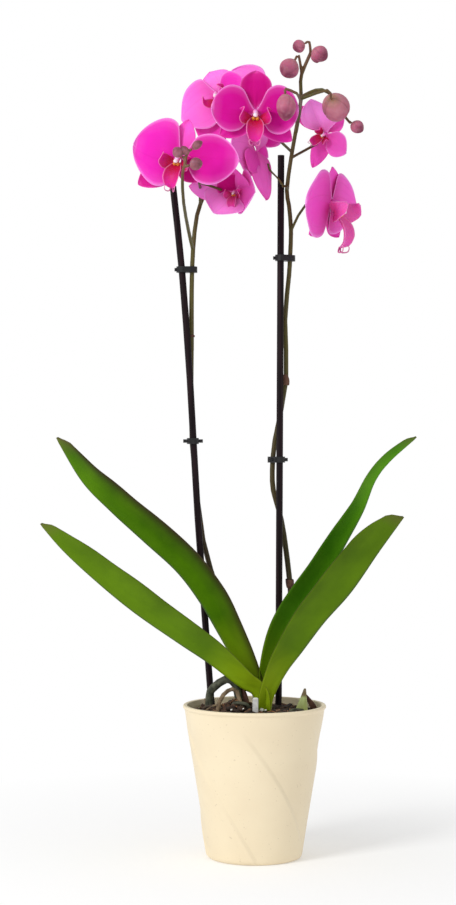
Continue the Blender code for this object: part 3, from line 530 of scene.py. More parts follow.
def make_lip(bloom, skins):
    """Three lobes: two that stand beside the column and a keeled one below, with tendrils."""
    shape = Shape()
    for way in (-1, 1):
        wing = ((0.04 * way, -0.20, 0.10), (0.20 * way, -0.16, 0.20))
        wing += ((0.31 * way, -0.10, 0.33), (0.27 * way, 0.03, 0.44))
        add_strip(shape, bloom, wing, (0.08, 0.18, 0.21, 0.15, 0.03), (0, -way, way * 0.4), 48)
    keel = ((0, -0.16, 0.08), (0, -0.28, 0.20), (0, -0.46, 0.34))
    keel += ((0, -0.66, 0.36), (0, -0.78, 0.28))
    add_strip(shape, bloom, keel, (0.08, 0.15, 0.23, 0.24, 0.17, 0.04), (-1, 0, 0), -50)
    lip = shape.build(f"bloom_{bloom.number}_lip", skins["lip"], PETAL_SHELL)
    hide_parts(f"flower_{bloom.number}_lip")

    callus = Shape()
    for way in (-1, 1):
        knob = ((0.02 * way, -0.17, 0.10), (0.045 * way, -0.20, 0.20), (0.05 * way, -0.17, 0.27))
        route = route_through(local(bloom, knob), 4)
        swell = np.sin(np.linspace(0.5, 3.0, len(route)))
        callus.tube(route, bloom.reach * bloom.lip * 0.045 * swell, 12)
    callus.build(f"bloom_{bloom.number}_callus", skins["callus"])

    tendrils = Shape()
    for way in (-1, 1):
        curl = ((0.015 * way, -0.77, 0.29), (0.06 * way, -0.86, 0.30), (0.12 * way, -0.84, 0.40))
        curl += ((0.13 * way, -0.75, 0.41), (0.09 * way, -0.74, 0.35))
        route = route_through(local(bloom, curl), 5)
        tendrils.tube(route, np.linspace(0.016, 0.007, len(route)) * bloom.reach * bloom.lip, 8)
    tendrils.build(f"bloom_{bloom.number}_tendrils", skins["tendril"])


def make_column(bloom, skins):
    """The column in the flower's middle, with the pale cap over its pollen at the tip."""
    shape = Shape()
    line = ((0, 0.0, 0.01), (0, -0.01, 0.10), (0, -0.05, 0.19), (0, -0.12, 0.25))
    route = route_through(local(bloom, line), 5)
    swell = np.interp(np.linspace(0, 1, len(route)), (0, 0.3, 0.75, 1), (0.072, 0.055, 0.078, 0.05))
    shape.tube(route, swell * bloom.reach * bloom.lip, 18, 0.85)
    column = shape.build(f"bloom_{bloom.number}_column", skins["column"], smoothed=1)
    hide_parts(f"flower_{bloom.number}_column")
    cap = Shape()
    line = ((0, -0.10, 0.245), (0, -0.14, 0.27), (0, -0.175, 0.265))
    route = route_through(local(bloom, line), 4)
    swell = np.sin(np.linspace(0.7, 2.75, len(route))) * 0.062 * bloom.reach * bloom.lip
    cap.tube(route, swell, 16)
    cap.build(f"bloom_{bloom.number}_cap", skins["cap"], smoothed=1)


# ---- Buds ----

BUDS = ("left_1", "left_2", "left_3", "top_1", "top_2", "top_3", "front", "right_1", "right_2")
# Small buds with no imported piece: base, tip, radius and how brown it is.
SMALL_BUDS = (
    ((-0.0574, -0.0965, 0.6170), (-0.0634, -0.0975, 0.6240), 0.0033, 1.0),
    ((0.0535, 0.0020, 0.7240), (0.0568, 0.0000, 0.7140), 0.0044, 0.0),
)


def bud_frame(name, stem):
    """A bud's base, tip and greatest radius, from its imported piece. Its base is next to a stem."""
    corners = corners_of(f"bud_{name}")
    middle = (corners.min(0) + corners.max(0)) / 2
    axis = np.linalg.svd(corners - corners.mean(0), full_matrices=False)[2][0]
    along = (corners - middle) @ axis
    ends = [middle + axis * along.min(), middle + axis * along.max()]
    ends.sort(key=lambda end: np.linalg.norm(stem - end, axis=1).min())
    aside = np.linalg.norm(corners - middle - np.outer(along, axis), axis=1)
    return ends[0], ends[1], aside.max()


def add_bud(shape, base, tip, radius, tone):
    """A plump bud of three overlapping sepals: shallow seams along it and a small beak."""
    count, sides = 26, 36
    share = (1 - np.cos(np.linspace(0, math.pi, count))) / 2
    swell = np.sin(math.pi * share**0.94) ** 0.62 + 0.04
    axis = unit(tip - base)
    across = unit(np.cross(axis, (0.2, 0.3, 0.9)))
    beside = np.cross(axis, across)
    length = np.linalg.norm(tip - base)
    angles = np.linspace(0, 2 * math.pi, sides, endpoint=False)
    seams = np.abs(np.sin(1.5 * angles))
    rings = []
    for t, r in zip(share, swell):
        twist = angles + 0.5 * t
        crease = 1 - 0.10 * (1 - np.clip(seams * 5, 0, 1)) * math.sin(math.pi * t)
        spread = radius * r * crease * (1 + 0.05 * np.sin(2 * angles))
        bow = across * 0.06 * length * math.sin(math.pi * t)
        turn = np.outer(np.cos(twist), across) + np.outer(np.sin(twist), beside)
        rings.append(base + axis * length * t + bow + spread[:, None] * turn)
    values = {"along": share[:, None], "vein": seams[None, :], "tone": tone}
    shape.grid(np.array(rings), closed=True, capped=True, **values)


def make_buds(skins):
    stem = np.vstack([corners_of("spike_left"), corners_of("spike_right")])
    for name in BUDS:
        base, tip, radius = bud_frame(name, stem)
        shape = Shape()
        add_bud(shape, base, tip, radius, 1.0 if name.startswith("left") else 0.0)
        made = shape.build(f"bud_{name}_bloom", skins["bud"])
        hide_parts(f"bud_{name}")
    small = Shape()
    for base, tip, radius, tone in SMALL_BUDS:
        add_bud(small, np.array(base), np.array(tip), radius, tone)
    small.build("buds_small", skins["bud"])


# ---- Leaves ----

# Midrib points are (x, y, height above the rim) and widths (share of length, half width), their
# lengths in millimetres. folds are (share of length, degrees that each half stands open from the
# fold's middle). behind is how much farther open the far half lies, in degrees, and purple how
# dark the margins are.
Leaf = namedtuple("Leaf", "name midrib widths folds behind purple")
LEAVES = (
    Leaf(
        "leaf_upper_left",
        (
            (4.8, 0, -4), (-1.6, 4.5, 13), (-16.6, 4, 38.9), (-32, 4, 65.9), (-48.2, 4, 93),
            (-68.9, 3, 120.1), (-98.6, 2, 147.2), (-128.3, 0, 174.3), (-154.2, -2, 201.3),
            (-177.4, -4, 240),
        ),
        (
            (0, 11), (0.15, 23.5), (0.35, 30.5), (0.6, 30), (0.8, 25), (0.93, 16.5), (1, 8),
        ),
        ((0, 30), (0.3, 24), (0.8, 22), (1, 26)),
        behind=24,
        purple=1.0,
    ),
    Leaf(
        "leaf_lower_left",
        (
            (5.8, -10.5, -5), (0.5, -13.5, 11.2), (-13.2, -18, 20), (-38.1, -24, 39.8),
            (-67.3, -30, 59.7), (-106.2, -33, 86.7), (-138.8, -34, 113.3), (-167.8, -35, 140),
            (-188.8, -36, 163.9),
        ),
        (
            (0, 12.5), (0.15, 20.5), (0.4, 28.5), (0.62, 30), (0.82, 23), (0.94, 15), (1, 8),
        ),
        ((0, 30), (0.3, 24), (0.8, 22), (1, 26)),
        behind=30,
        purple=0.2,
    ),
    Leaf(
        "leaf_upper_right",
        (
            (10, 0, -4), (13.8, 4.5, 13), (17.5, 4, 29.9), (29.3, 3, 64.2), (48.2, 2, 93.2),
            (67, 0, 120.3), (82.2, -2, 147.4), (96.5, -4, 174.4), (107.1, -6, 201.4),
            (120.4, -8, 219.3), (144.4, -10, 240.8),
        ),
        (
            (0, 10), (0.15, 20.5), (0.35, 26.5), (0.52, 25), (0.7, 16.5), (0.82, 10.5),
            (0.93, 9.5), (1, 6),
        ),
        ((0, 30), (0.3, 28), (0.7, 24), (1, 26)),
        behind=28,
        purple=0.25,
    ),
    Leaf(
        "leaf_lower_right",
        (
            (11, -11, -5), (16, -15, 12), (26.9, -18, 32.3), (40.2, -24, 50.5),
            (60.4, -29, 77.5), (84.1, -32, 104.4), (108.7, -34, 139.9), (130.5, -36, 170.1),
        ),
        (
            (0, 12.5), (0.15, 20), (0.4, 31.5), (0.65, 35), (0.85, 29), (0.96, 19), (1, 12),
        ),
        ((0, 32), (0.3, 24), (0.8, 20), (1, 24)),
        behind=30,
        purple=0.15,
    ),
)
LEAF_EDGE, LEAF_RIB = 0.0008, 0.0026
LEAF_SPLAY = math.radians(16)
LEAF_COLUMNS = 33
LEAF_TIP_ROUND = 0.03
LEAF_WAVE = 0.0016
FOLD_ROUND = 0.0012
RIB_REACH = 0.22


def make_leaf(leaf, skin):
    """A strap leaf folded along its midrib: an upper and an under face with a rounded edge."""
    line = route_through(above_rim(leaf.midrib), 9)
    ways = np.gradient(line, axis=0)
    steps = np.concatenate([[0], np.linalg.norm(np.diff(line, axis=0), axis=1).cumsum()])
    share = steps / steps[-1]
    half = np.interp(share, *np.transpose(leaf.widths)) / MM
    half = np.convolve(np.pad(half, 3, mode="edge"), np.ones(7) / 7, mode="valid")
    half *= np.sqrt(np.clip((1.0004 - share) / LEAF_TIP_ROUND, 0, 1))
    fold = np.radians(np.interp(share, *np.transpose(leaf.folds)))
    across = np.linspace(-1, 1, LEAF_COLUMNS)
    shape = Shape()
    rings = []
    edge = []
    for i, point in enumerate(line):
        way = unit(ways[i])
        side = np.array((0.0, 1.0, 0.0))
        side = unit(side - way * side.dot(way))
        rise = np.cross(side, way)
        rise *= np.sign(rise[2])
        open_by = math.radians(leaf.behind) * smooth(0, 0.25, share[i]) * (across > 0)
        slope = fold[i] + LEAF_SPLAY * np.abs(across) + open_by
        step = half[i] * 2 / (LEAF_COLUMNS - 1)
        out = np.cumsum(np.sin(slope) * step)
        out -= out[LEAF_COLUMNS // 2]
        lift = np.abs(across) * half[i] * np.cos(slope - LEAF_SPLAY * np.abs(across) / 2)
        lift = np.sqrt(lift**2 + FOLD_ROUND**2) - FOLD_ROUND
        wave = noise.noise(Vector((share[i] * 5, line[0][0] * 90, 0.3))) * LEAF_WAVE
        lift = lift + wave * across * share[i]
        inner = point + np.outer(out, side) + np.outer(lift, rise)
        fall = np.gradient(inner, axis=0)
        out_face = np.cross(way, fall)
        out_face /= np.linalg.norm(out_face, axis=1)[:, None] + 1e-12
        out_face *= np.sign((out_face @ rise))[LEAF_COLUMNS // 2] * -1
        rib = LEAF_RIB * (1 - 0.5 * share[i]) - LEAF_EDGE
        thick = LEAF_EDGE + rib * np.exp(-((across / RIB_REACH) ** 2))
        thick = thick * np.sqrt(np.clip((1 - np.abs(across)) * 14, 0.05, 1))
        outer = inner + out_face * thick[:, None]
        rings.append(np.vstack([inner, outer[::-1]]))
        edge.append(np.concatenate([np.abs(across), np.abs(across)]))
    under = np.concatenate([np.zeros(LEAF_COLUMNS), np.ones(LEAF_COLUMNS)])[None, :]
    values = {"along": share[:, None], "inset": 1 - np.array(edge), "tone": under}
    shape.grid(np.array(rings), closed=True, capped=True, vein=leaf.purple, **values)
    made = shape.build(f"{leaf.name}_blade", skin)
    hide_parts(leaf.name)


# ---- Pot ----

POT_FOOT = 0.0434
POT_RIM = 0.0634
POT_WALL = 0.0030
FOOT_ROUND = 0.0050
LIP_HEIGHT = 0.0044
LIP_ROUND = 0.0019
RIDGES = 5
RIDGE_PROUD = 0.0003
RIDGE_SUNK = 0.0011
RIDGE_DROP = 0.075
RIDGE_TWIST = math.radians(725)
RIDGE_ANGLE = math.radians(-81)
RIDGE_START = 0.017
RIDGE_FADE = (0.009, 0.032)
POT_SIDES = 420
POT_CENTRE = 0.0004  # the radius of the small ring that closes the foot and the inside
POT_FLOOR = 0.004
MOUTH_ROUND = 0.0009


def taper(height):
    return POT_FOOT + (POT_RIM - POT_FOOT) * height / RIM


def spiral(angle, height):
    """How far the ridged wall stands out. angle is from -Y towards +X."""
    below = RIM - height
    fade = smooth(*RIDGE_FADE, below) * smooth(0, FOOT_ROUND, height)
    share = (angle - RIDGE_ANGLE - RIDGE_TWIST * (below - RIDGE_START)) * RIDGES / (2 * math.pi) % 1
    climb = (share / (1 - RIDGE_DROP)) ** 1.5
    drop = smooth(0, 1, (1 - share) / RIDGE_DROP)
    tooth = np.where(share < 1 - RIDGE_DROP, climb, drop)
    return fade * ((RIDGE_PROUD + RIDGE_SUNK) * tooth - RIDGE_SUNK)


def ring_points(angles, radii, heights):
    radii = np.broadcast_to(radii, angles.shape)
    heights = np.broadcast_to(heights, angles.shape)
    return np.stack([radii * np.sin(angles), -radii * np.cos(angles), heights], -1)


def make_pot(skin):
    angles = np.linspace(0, 2 * math.pi, POT_SIDES, endpoint=False)
    rows = [ring_points(angles, POT_CENTRE, 0.0)]
    for turn in np.linspace(0, math.pi / 2, 9):
        height = FOOT_ROUND * (1 - math.cos(turn))
        radius = taper(height) - FOOT_ROUND * (1 - math.sin(turn)) + spiral(angles, height)
        rows.append(ring_points(angles, radius, height))
    lip_foot = RIM - LIP_HEIGHT
    for height in np.linspace(FOOT_ROUND, lip_foot, 110)[1:]:
        rows.append(ring_points(angles, taper(height) + spiral(angles, height), height))
    for share in np.linspace(0, 1, 9)[1:]:
        height = lip_foot + (LIP_HEIGHT - LIP_ROUND) * share
        flare = (POT_REACH - taper(height)) * smooth(0, 1, share)
        rows.append(ring_points(angles, taper(height) + flare, height))
    for turn in np.radians(np.linspace(0, 90, 8))[1:]:
        radius = POT_REACH - LIP_ROUND * 0.55 * (1 - math.cos(turn))
        rows.append(ring_points(angles, radius, RIM - LIP_ROUND * (1 - math.sin(turn))))
    inner = taper(RIM) - POT_WALL
    for turn in np.radians(np.linspace(0, 90, 5)):
        radius = inner + MOUTH_ROUND * (1 - math.sin(turn))
        rows.append(ring_points(angles, radius, RIM - MOUTH_ROUND * (1 - math.cos(turn))))
    rows.append(ring_points(angles, taper(RIM / 2) - POT_WALL, RIM / 2))
    rows.append(ring_points(angles, taper(POT_FLOOR) - POT_WALL, POT_FLOOR))
    rows.append(ring_points(angles, POT_CENTRE, POT_FLOOR))
    shape = Shape()
    shape.grid(np.array(rows), closed=True, capped=True)
    made = shape.build("cover_pot", skin)
    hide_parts("pot")


# ---- Bark and roots ----

MEDIUM_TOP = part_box("grow_pot")[1].z - 0.0020
MEDIUM_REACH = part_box("bark_medium")[1].x
HUMP = (-0.0159, -0.0127)
HUMP_HEIGHT, HUMP_REACH = 0.0095, 0.012
DOME = 0.0035
BED_ROUGH, BED_SUNK, BED_FOOT = 0.0016, 0.0012, 0.0062
CHIPS = 230


def bark_height(x, y):
    dome = DOME * (1 - (x * x + y * y) / MEDIUM_REACH**2)
    away = (x - HUMP[0]) ** 2 + (y - HUMP[1]) ** 2
    return MEDIUM_TOP + dome + HUMP_HEIGHT * math.exp(-away / (2 * HUMP_REACH**2))


def make_bark(skins):
    """A dark crumbly bed with loose chips of bark lying on it."""
    bed = Shape()
    angles = np.linspace(0, 2 * math.pi, 120, endpoint=False)
    rows = []
    for radius in np.linspace(MEDIUM_REACH - 0.0004, 0.0005, 44):
        row = []
        for a in angles:
            x, y = radius * math.cos(a), radius * math.sin(a)
            rough = noise.fractal(Vector((x, y, 0.7)) * 190, 0.9, 2.1, 4) * BED_ROUGH
            row.append((x, y, bark_height(x, y) - BED_SUNK + rough))
        rows.append(row)
    foot = [(x * 0.72, y * 0.72, BED_FOOT) for x, y, _ in rows[0]]
    bed.grid(np.array([foot, *rows]), closed=True, capped=True)
    made = bed.build("bark_bed", skins["bark_bed"])
    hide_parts("bark_medium")

    chips = Shape()
    pick = random.Random(11)
    for _ in range(CHIPS):
        reach = MEDIUM_REACH * 0.96 * math.sqrt(pick.random())
        turn = pick.uniform(0, 2 * math.pi)
        x, y = reach * math.cos(turn), reach * math.sin(turn)
        size = [pick.uniform(*limits) for limits in ((2.6, 6.5), (1.8, 3.6), (0.9, 1.9))]
        size = np.array(size) / MM
        lift = min(size[2] * 0.5, 0.0012)
        add_chip(chips, (x, y, bark_height(x, y) + lift), size, pick)
    chips.build("bark_chips", skins["bark"])


CHIP_ROWS, CHIP_SIDES, CHIP_ROUGH = 7, 10, 0.28


def add_chip(shape, place, size, pick):
    """A broken flake of bark: a lumpy block with angular faces."""
    tilt = pick.uniform(-0.5, 0.5)
    spin = pick.uniform(0, math.pi)
    roll = pick.uniform(-0.4, 0.4)
    axes = np.array(Euler((roll, tilt, spin)).to_matrix()).T
    seed = pick.uniform(0, 50)
    rows = []
    for t in np.linspace(0.02, 0.98, CHIP_ROWS):
        ring = []
        for a in np.linspace(0, 2 * math.pi, CHIP_SIDES, endpoint=False):
            spread = math.sin(math.pi * t) ** 0.45
            spot = np.array((math.cos(math.pi * t), spread * math.cos(a), spread * math.sin(a)))
            spot = np.sign(spot) * np.abs(spot) ** 0.7
            rough = 1 + CHIP_ROUGH * noise.noise(Vector(spot * 1.6) + Vector((seed, 0, 0)))
            ring.append(np.array(place) + (spot * size * rough) @ axes)
        rows.append(ring)
    shape.grid(np.array(rows), closed=True, capped=True, tone=pick.random())


def above_bark(x, y, height):
    return (x, y, bark_height(x, y) + height)


def add_root(shape, points, radius, sides=12, wobble=0.12):
    """A root through points, its thickness changing a little along it."""
    route = route_through(points, 6)
    swell = [1 + wobble * noise.noise(Vector(point) * 160) for point in route]
    shape.tube(route, radius * np.array(swell), sides)


# What lies on the bark, its points (x, y, height above the bark) and radii in millimetres.
# Roots, by piece: finish, then the radius, sides and points of each.
CURL_TURNS = np.radians(np.linspace(18, 342, 9))
CURL = [(-36.5 + 7 * math.cos(a), -12, 1.4 + 3 * math.sin(a)) for a in CURL_TURNS]
ROOTS = {
    "roots_grey_short": (
        "root_grey",
        (
            1.6,
            12,
            ((-21.5, -20, -2), (-17.5, -22.5, 3), (-12, -23.5, 3.6), (-7, -22.5, 3), (-4, -20, -2)),
        ),
        (1.6, 12, ((28, -15, -2), (33, -12, 2.2), (40, -8, 2.6), (48, -4, 1), (51, -2, -2))),
    ),
    "roots_dark_wiry": (
        "root_dark",
        (
            0.9,
            10,
            ((18, -24, -2), (22, -25, 2.6), (27, -23.5, 1.2), (31, -24.5, 3), (34.5, -22, -2)),
        ),
        (
            1.3,
            10,
            ((-48, -2, -2), (-45.5, -6, 4), (-40, -9.5, 5.2), (-33.5, -10, 3), (-29, -12, -2)),
        ),
    ),
    "roots_tan_curled": (
        "root_tan",
        (1.7, 12, ((-43, 18, -3), (-43.4, 18.6, 4), (-44, 19, 10.5))),
        (1.0, 10, CURL),
    ),
}
# Old sheaths, as flattened tubes: points, radii at both ends and flatness.
SHEATHS = (
    (((-8.5, -6, -2), (-11.5, -5.5, 9), (-16, -4, 20), (-19.5, -2, 28)), (5.2, 2.2), 0.35),
    (((55, 7, -2), (53, 7.5, 5), (49, 8, 11), (46, 8.2, 15)), (4.0, 1.2), 0.3),
)
LABEL = [(0.4, -29, height) for height in (-2, 3, 8, 12.5, 14)]
LABEL_RADII, LABEL_FLAT = ((0, 0.85, 1), (2.7, 2.7, 1.4)), 0.22
FIBRES, FIBRE_RADIUS = 26, 0.0004
# Pale mineral bits: x, y and size, in millimetres.
BITS = ((-20.5, -30, 1.3), (-10.5, -29, 1.0), (5.8, -23.5, 1.9), (9.2, -21.5, 1.2))
BIT_HEIGHT = 0.0022


def on_bark(points):
    return [above_bark(*(value / MM for value in point)) for point in points]


def make_litter(skins):
    """The odd roots and scraps that lie on the bark round the plant's foot."""
    for name, (skin, *roots) in ROOTS.items():
        shape = Shape()
        for radius, sides, points in roots:
            add_root(shape, on_bark(points), radius / MM, sides)
        shape.build(name, skins[skin])

    sheath = Shape()
    for points, ends, flat in SHEATHS:
        route = route_through(on_bark(points), 6)
        sheath.tube(route, np.linspace(*ends, len(route)) / MM, 16, flat)
    sheath.build("old_sheaths", skins["scale"])

    label = Shape()
    route = route_through(on_bark(LABEL), 5)
    radii = np.interp(np.linspace(0, 1, len(route)), *LABEL_RADII) / MM
    label.tube(route, radii, 20, LABEL_FLAT)
    label.build("label_stub", skins["label"])

    fibres = Shape()
    pick = random.Random(5)
    for _ in range(FIBRES):
        x, y = pick.uniform(-0.050, 0.046), pick.uniform(-0.034, -0.004)
        aim = pick.uniform(0, math.pi)
        reach = pick.uniform(0.003, 0.008)
        ends = [(x + reach * t * math.cos(aim), y + reach * t * math.sin(aim)) for t in (-1, 0, 1)]
        lifts = (0.0006, pick.uniform(0.0012, 0.0034), 0.0008)
        points = [above_bark(*end, lift) for end, lift in zip(ends, lifts)]
        add_root(fibres, points, FIBRE_RADIUS, 7)
    fibres.build("bark_fibres", skins["fibre"])

    bits = Shape()
    for x, y, size in BITS:
        place = above_bark(x / MM, y / MM, BIT_HEIGHT)
        add_chip(bits, place, np.array((size, size * 0.8, size * 0.7)) / MM, pick)
    bits.build("mineral_bits", skins["mineral"])


# ---- Stems, stakes, clips and the crown ----


def near(spots, targets, reach):
    """1 at the targets, falling to 0 at the given distance."""
    close = np.full(len(spots), 1e9)
    for target in targets:
        close = np.minimum(close, np.linalg.norm(spots - target, axis=1))
    return 1 - smooth(0.2 * reach, reach, close)


# The fifth flower's stalk: heights of the bend's two corners, the box round it, and the shift.
STALK_BEND = (0.6057, 0.6237)
STALK_X, STALK_Z = ((0.0095, 0.0150), (0.0200, 0.0258)), ((0.596, 0.602), (0.626, 0.631))
STALK_SHIFT = 0.0055


def slant_stalk(mesh):
    """Turns the square bend in the fifth flower's stalk into a slanting one."""
    spots = np.empty(len(mesh.vertices) * 3, np.float32)
    mesh.vertices.foreach_get("co", spots)
    spots = spots.reshape(-1, 3)
    x, z = spots[:, 0], spots[:, 2]
    inside = smooth(*STALK_X[0], x) * (1 - smooth(*STALK_X[1], x))
    inside *= smooth(*STALK_Z[0], z) * (1 - smooth(*STALK_Z[1], z))
    climb = np.clip((z - STALK_BEND[0]) / (STALK_BEND[1] - STALK_BEND[0]), 0, 1)
    spots[:, 0] += STALK_SHIFT * inside * np.cos(math.pi * climb)
    mesh.vertices.foreach_set("co", spots.reshape(-1))
    mesh.update()


STEM_SPAN = 0.40
BLUSH_REACH = 0.022  # how far from a flower or bud a stem turns pink


def make_stems(skins):
    """Spikes: purple at the foot, olive along the stake and pink where they bear flowers."""
    hubs = [bloom_frame(number).hub for number in BLOOMS]
    stem = np.vstack([corners_of("spike_left"), corners_of("spike_right")])
    hubs += [bud_frame(name, stem)[0] for name in BUDS]

    def values(spots):
        height = (spots[:, 2] - RIM) / STEM_SPAN
        return {"along": np.clip(height, 0, 1), "tone": near(spots, hubs, BLUSH_REACH)}

    for side in ("left", "right"):
        made = remade(f"spike_{side}", f"stem_{side}", skins["stem"], 0.00055, 8, values)
        if side == "right":
            slant_stalk(made.data)


LEVEL_REACH = 0.006  # corners this near a height count as at it


def stem_at(side, height):
    """The middle and radius of a packed spike at a height."""
    corners = corners_of(f"spike_{side}")
    level = corners[np.abs(corners[:, 2] - height) < LEVEL_REACH]
    middle = level.mean(0)
    radius = np.linalg.norm((level - middle)[:, :2], axis=1).mean()
    return np.array((middle[0], middle[1], height)), radius


# Papery scales that clasp the spikes at their joints: side, height, length and which way
# the free tip points (-1 left, 1 right).
SCALES = (
    ("right", 0.4290, 0.0100, -1),
    ("right", 0.2450, 0.0130, -1),
    ("left", 0.4730, 0.0100, 1),
    ("left", 0.3850, 0.0110, 1),
    ("left", 0.2560, 0.0400, 1),
)
SCALE_LEAN, SCALE_FRONT = 0.0012, 0.0003


def make_scales(skins):
    shape = Shape()
    for side, height, length, way in SCALES:
        lines, radii = [], []
        for share in np.linspace(0, 1, 8):
            middle, radius = stem_at(side, height + length * (share - 0.4))
            lines.append(middle + np.array((way * SCALE_LEAN * share**2, -SCALE_FRONT, 0)))
            radii.append(radius * (1.22 + 0.35 * math.sin(math.pi * share) - 0.30 * share))
        shape.tube(lines, radii, 18)
    shape.build("spike_scales", skins["scale"])


def make_crown(skins):
    remade("crown", "crown_base", skins["crown"], 0.0006, 6)
    remade("old_leaf_stub", "leaf_stub_cut", skins["stub"], 0.0005, 3)
    for node, name, skin in (
        ("root_loop", "root_grey_loop", "root_grey"),
        ("root_tan", "root_thin_tan", "root_tan"),
    ):
        remade(node, name, skins[skin], 0.0005, 5)


# ---- Finishes ----


# Finishes whose colour comes from noise or one named value, and whose relief comes from noise:
# material, roughness, the colour's noise (scale, detail, stretch) or value, its stops, then the
# relief's noise, strength and depth.
PLAIN_FIELDS = "material roughness grain stops relief strength depth gloss glow"
Plain = namedtuple("Plain", PLAIN_FIELDS, defaults=(0.5, 0.0))
UPRIGHT = (1, 1, 0.2)  # draws noise out along the upright
PLAIN_SKINS = {
    "tendril": Plain(
        "tendril_satin", 0.45, "along", ((0.0, (0.50, 0.01, 0.22)), (1.0, (0.85, 0.35, 0.55))),
        (900.0,), 0.1, 0.0002,
    ),
    "column": Plain(
        "column_wax", 0.4, "along",
        ((0.0, (0.62, 0.02, 0.35)), (0.5, (0.80, 0.16, 0.58)), (1.0, (0.90, 0.55, 0.78))),
        (900.0,), 0.1, 0.0003, glow=0.3,
    ),
    "cap": Plain(
        "pollen_cap_wax", 0.35, (400.0,), ((0.35, (0.86, 0.62, 0.78)), (0.65, (0.94, 0.86, 0.90))),
        (900.0,), 0.1, 0.0002, glow=0.3,
    ),
    "crown": Plain(
        "crown_green", 0.45, (120.0, 4.0), ((0.35, (0.16, 0.24, 0.03)), (0.65, (0.33, 0.38, 0.06))),
        (400.0,), 0.3, 0.0005,
    ),
    "scale": Plain(
        "papery_scale", 0.6, (260.0, 4.0, UPRIGHT),
        ((0.35, (0.060, 0.020, 0.018)), (0.7, (0.17, 0.085, 0.055))),
        (600.0, 4.0, UPRIGHT), 0.3, 0.0003, gloss=0.2,
    ),
    "label": Plain(
        "label_plastic", 0.4, (300.0,), ((0.35, (0.52, 0.52, 0.50)), (0.7, (0.70, 0.70, 0.67))),
        (900.0,), 0.1, 0.0002,
    ),
    "stake": Plain(
        "stake_painted_bamboo", 0.5, (500.0, 4.0, (1, 1, 0.03)),
        ((0.35, (0.004, 0.002, 0.003)), (0.7, (0.020, 0.008, 0.011))),
        (500.0, 4.0, (1, 1, 0.03)), 0.25, 0.0004, gloss=0.12,
    ),
    "clip": Plain(
        "clip_moulded_plastic", 0.35, (300.0,),
        ((0.3, (0.008, 0.008, 0.009)), (0.7, (0.016, 0.015, 0.016))),
        (1500.0,), 0.08, 0.0002, gloss=0.3,
    ),
    "grow_pot": Plain(
        "grow_pot_film", 0.4, (60.0,), ((0.3, (0.48, 0.45, 0.37)), (0.7, (0.62, 0.58, 0.49))),
        (600.0,), 0.1, 0.0003,
    ),
    "bark_bed": Plain(
        "bark_fines", 0.9, (420.0, 6.0),
        ((0.35, (0.006, 0.004, 0.003)), (0.62, (0.040, 0.022, 0.013))),
        (700.0, 6.0), 0.8, 0.0008,
    ),
}
# Darkest and palest colour of each kind of root and scrap.
ROOT_COLOURS = {
    "root_grey": ((0.022, 0.027, 0.015), (0.105, 0.110, 0.070)),
    "root_tan": ((0.10, 0.065, 0.035), (0.30, 0.21, 0.12)),
    "root_dark": ((0.022, 0.015, 0.010), (0.085, 0.058, 0.036)),
    "fibre": ((0.16, 0.060, 0.020), (0.42, 0.19, 0.075)),
    "mineral": ((0.66, 0.64, 0.60), (0.88, 0.87, 0.83)),
}
# Shaded and bright green of each leaf.
LEAF_COLOURS = {
    "leaf_upper_left": ((0.036, 0.112, 0.001), (0.086, 0.215, 0.001)),
    "leaf_lower_left": ((0.062, 0.135, 0.001), (0.108, 0.215, 0.002)),
    "leaf_upper_right": ((0.045, 0.200, 0.002), (0.110, 0.310, 0.010)),
    "leaf_lower_right": ((0.058, 0.125, 0.001), (0.105, 0.205, 0.002)),
}


def plain_skin(plain):
    skin = Skin(plain.material, plain.roughness, plain.gloss, plain.glow)
    named = isinstance(plain.grain, str)
    grain = skin.value(plain.grain) if named else skin.noise(*plain.grain)
    skin.colour(skin.ramp(grain, *plain.stops))
    skin.bump(skin.noise(*plain.relief), plain.strength, plain.depth)
    return skin.material


def lip_skin():
    lip = Skin("lip_satin", 0.5, gloss=0.2, glow=0.2)
    throat, lobe = (0.48, 0.0, 0.035), (0.72, 0.012, 0.30)
    body = lip.ramp(lip.value("along"), (0.0, throat), (0.35, throat), (0.8, lobe))
    body = lip.tint(body, lip.value("tone"), 0.75, (0.92, 0.16, 0.60))
    rim = lip.ramp(lip.value("inset"), (0.0, 0.7), (0.06, 0.30), (0.16, 0.0))
    body = lip.blend(rim, body, (0.92, 0.30, 0.62))
    spots = lip.ramp(lip.noise(1400.0, 1.0), (0.45, 0.0), (0.6, 1.0))
    lip.colour(lip.tint(body, spots, 0.3, (0.55, 0.03, 0.28)))
    lip.bump(lip.noise(700.0), 0.15, 0.0004)
    return lip.material


def callus_skin():
    callus = Skin("callus_wax", 0.35, glow=0.2)
    spots = callus.ramp(callus.noise(1500.0, 1.0), (0.5, 0.0), (0.6, 1.0))
    callus.colour(callus.tint((0.86, 0.42, 0.05), spots, 0.8, (0.45, 0.02, 0.02)))
    callus.bump(callus.noise(900.0), 0.1, 0.0003)
    return callus.material


def bud_skin():
    bud = Skin("bud_matte", 0.55, gloss=0.3, glow=0.2)
    body = bud.ramp(
        bud.value("along"),
        (0.0, (0.32, 0.17, 0.10)),
        (0.16, (0.46, 0.16, 0.21)),
        (0.6, (0.42, 0.095, 0.18)),
        (0.85, (0.20, 0.030, 0.075)),
    )
    seam = bud.ramp(bud.value("vein"), (0.0, 1.0), (0.18, 0.0))
    body = bud.tint(body, seam, 0.45, (0.22, 0.05, 0.09))
    body = bud.tint(body, bud.value("tone"), 0.7, (0.16, 0.060, 0.070))
    mottle = bud.ramp(bud.noise(260.0, 4.0), (0.4, 0.0), (0.7, 1.0))
    bud.colour(bud.tint(body, mottle, 0.35, (0.56, 0.25, 0.31)))
    bud.bump(bud.noise(500.0), 0.2, 0.0004)
    return bud.material


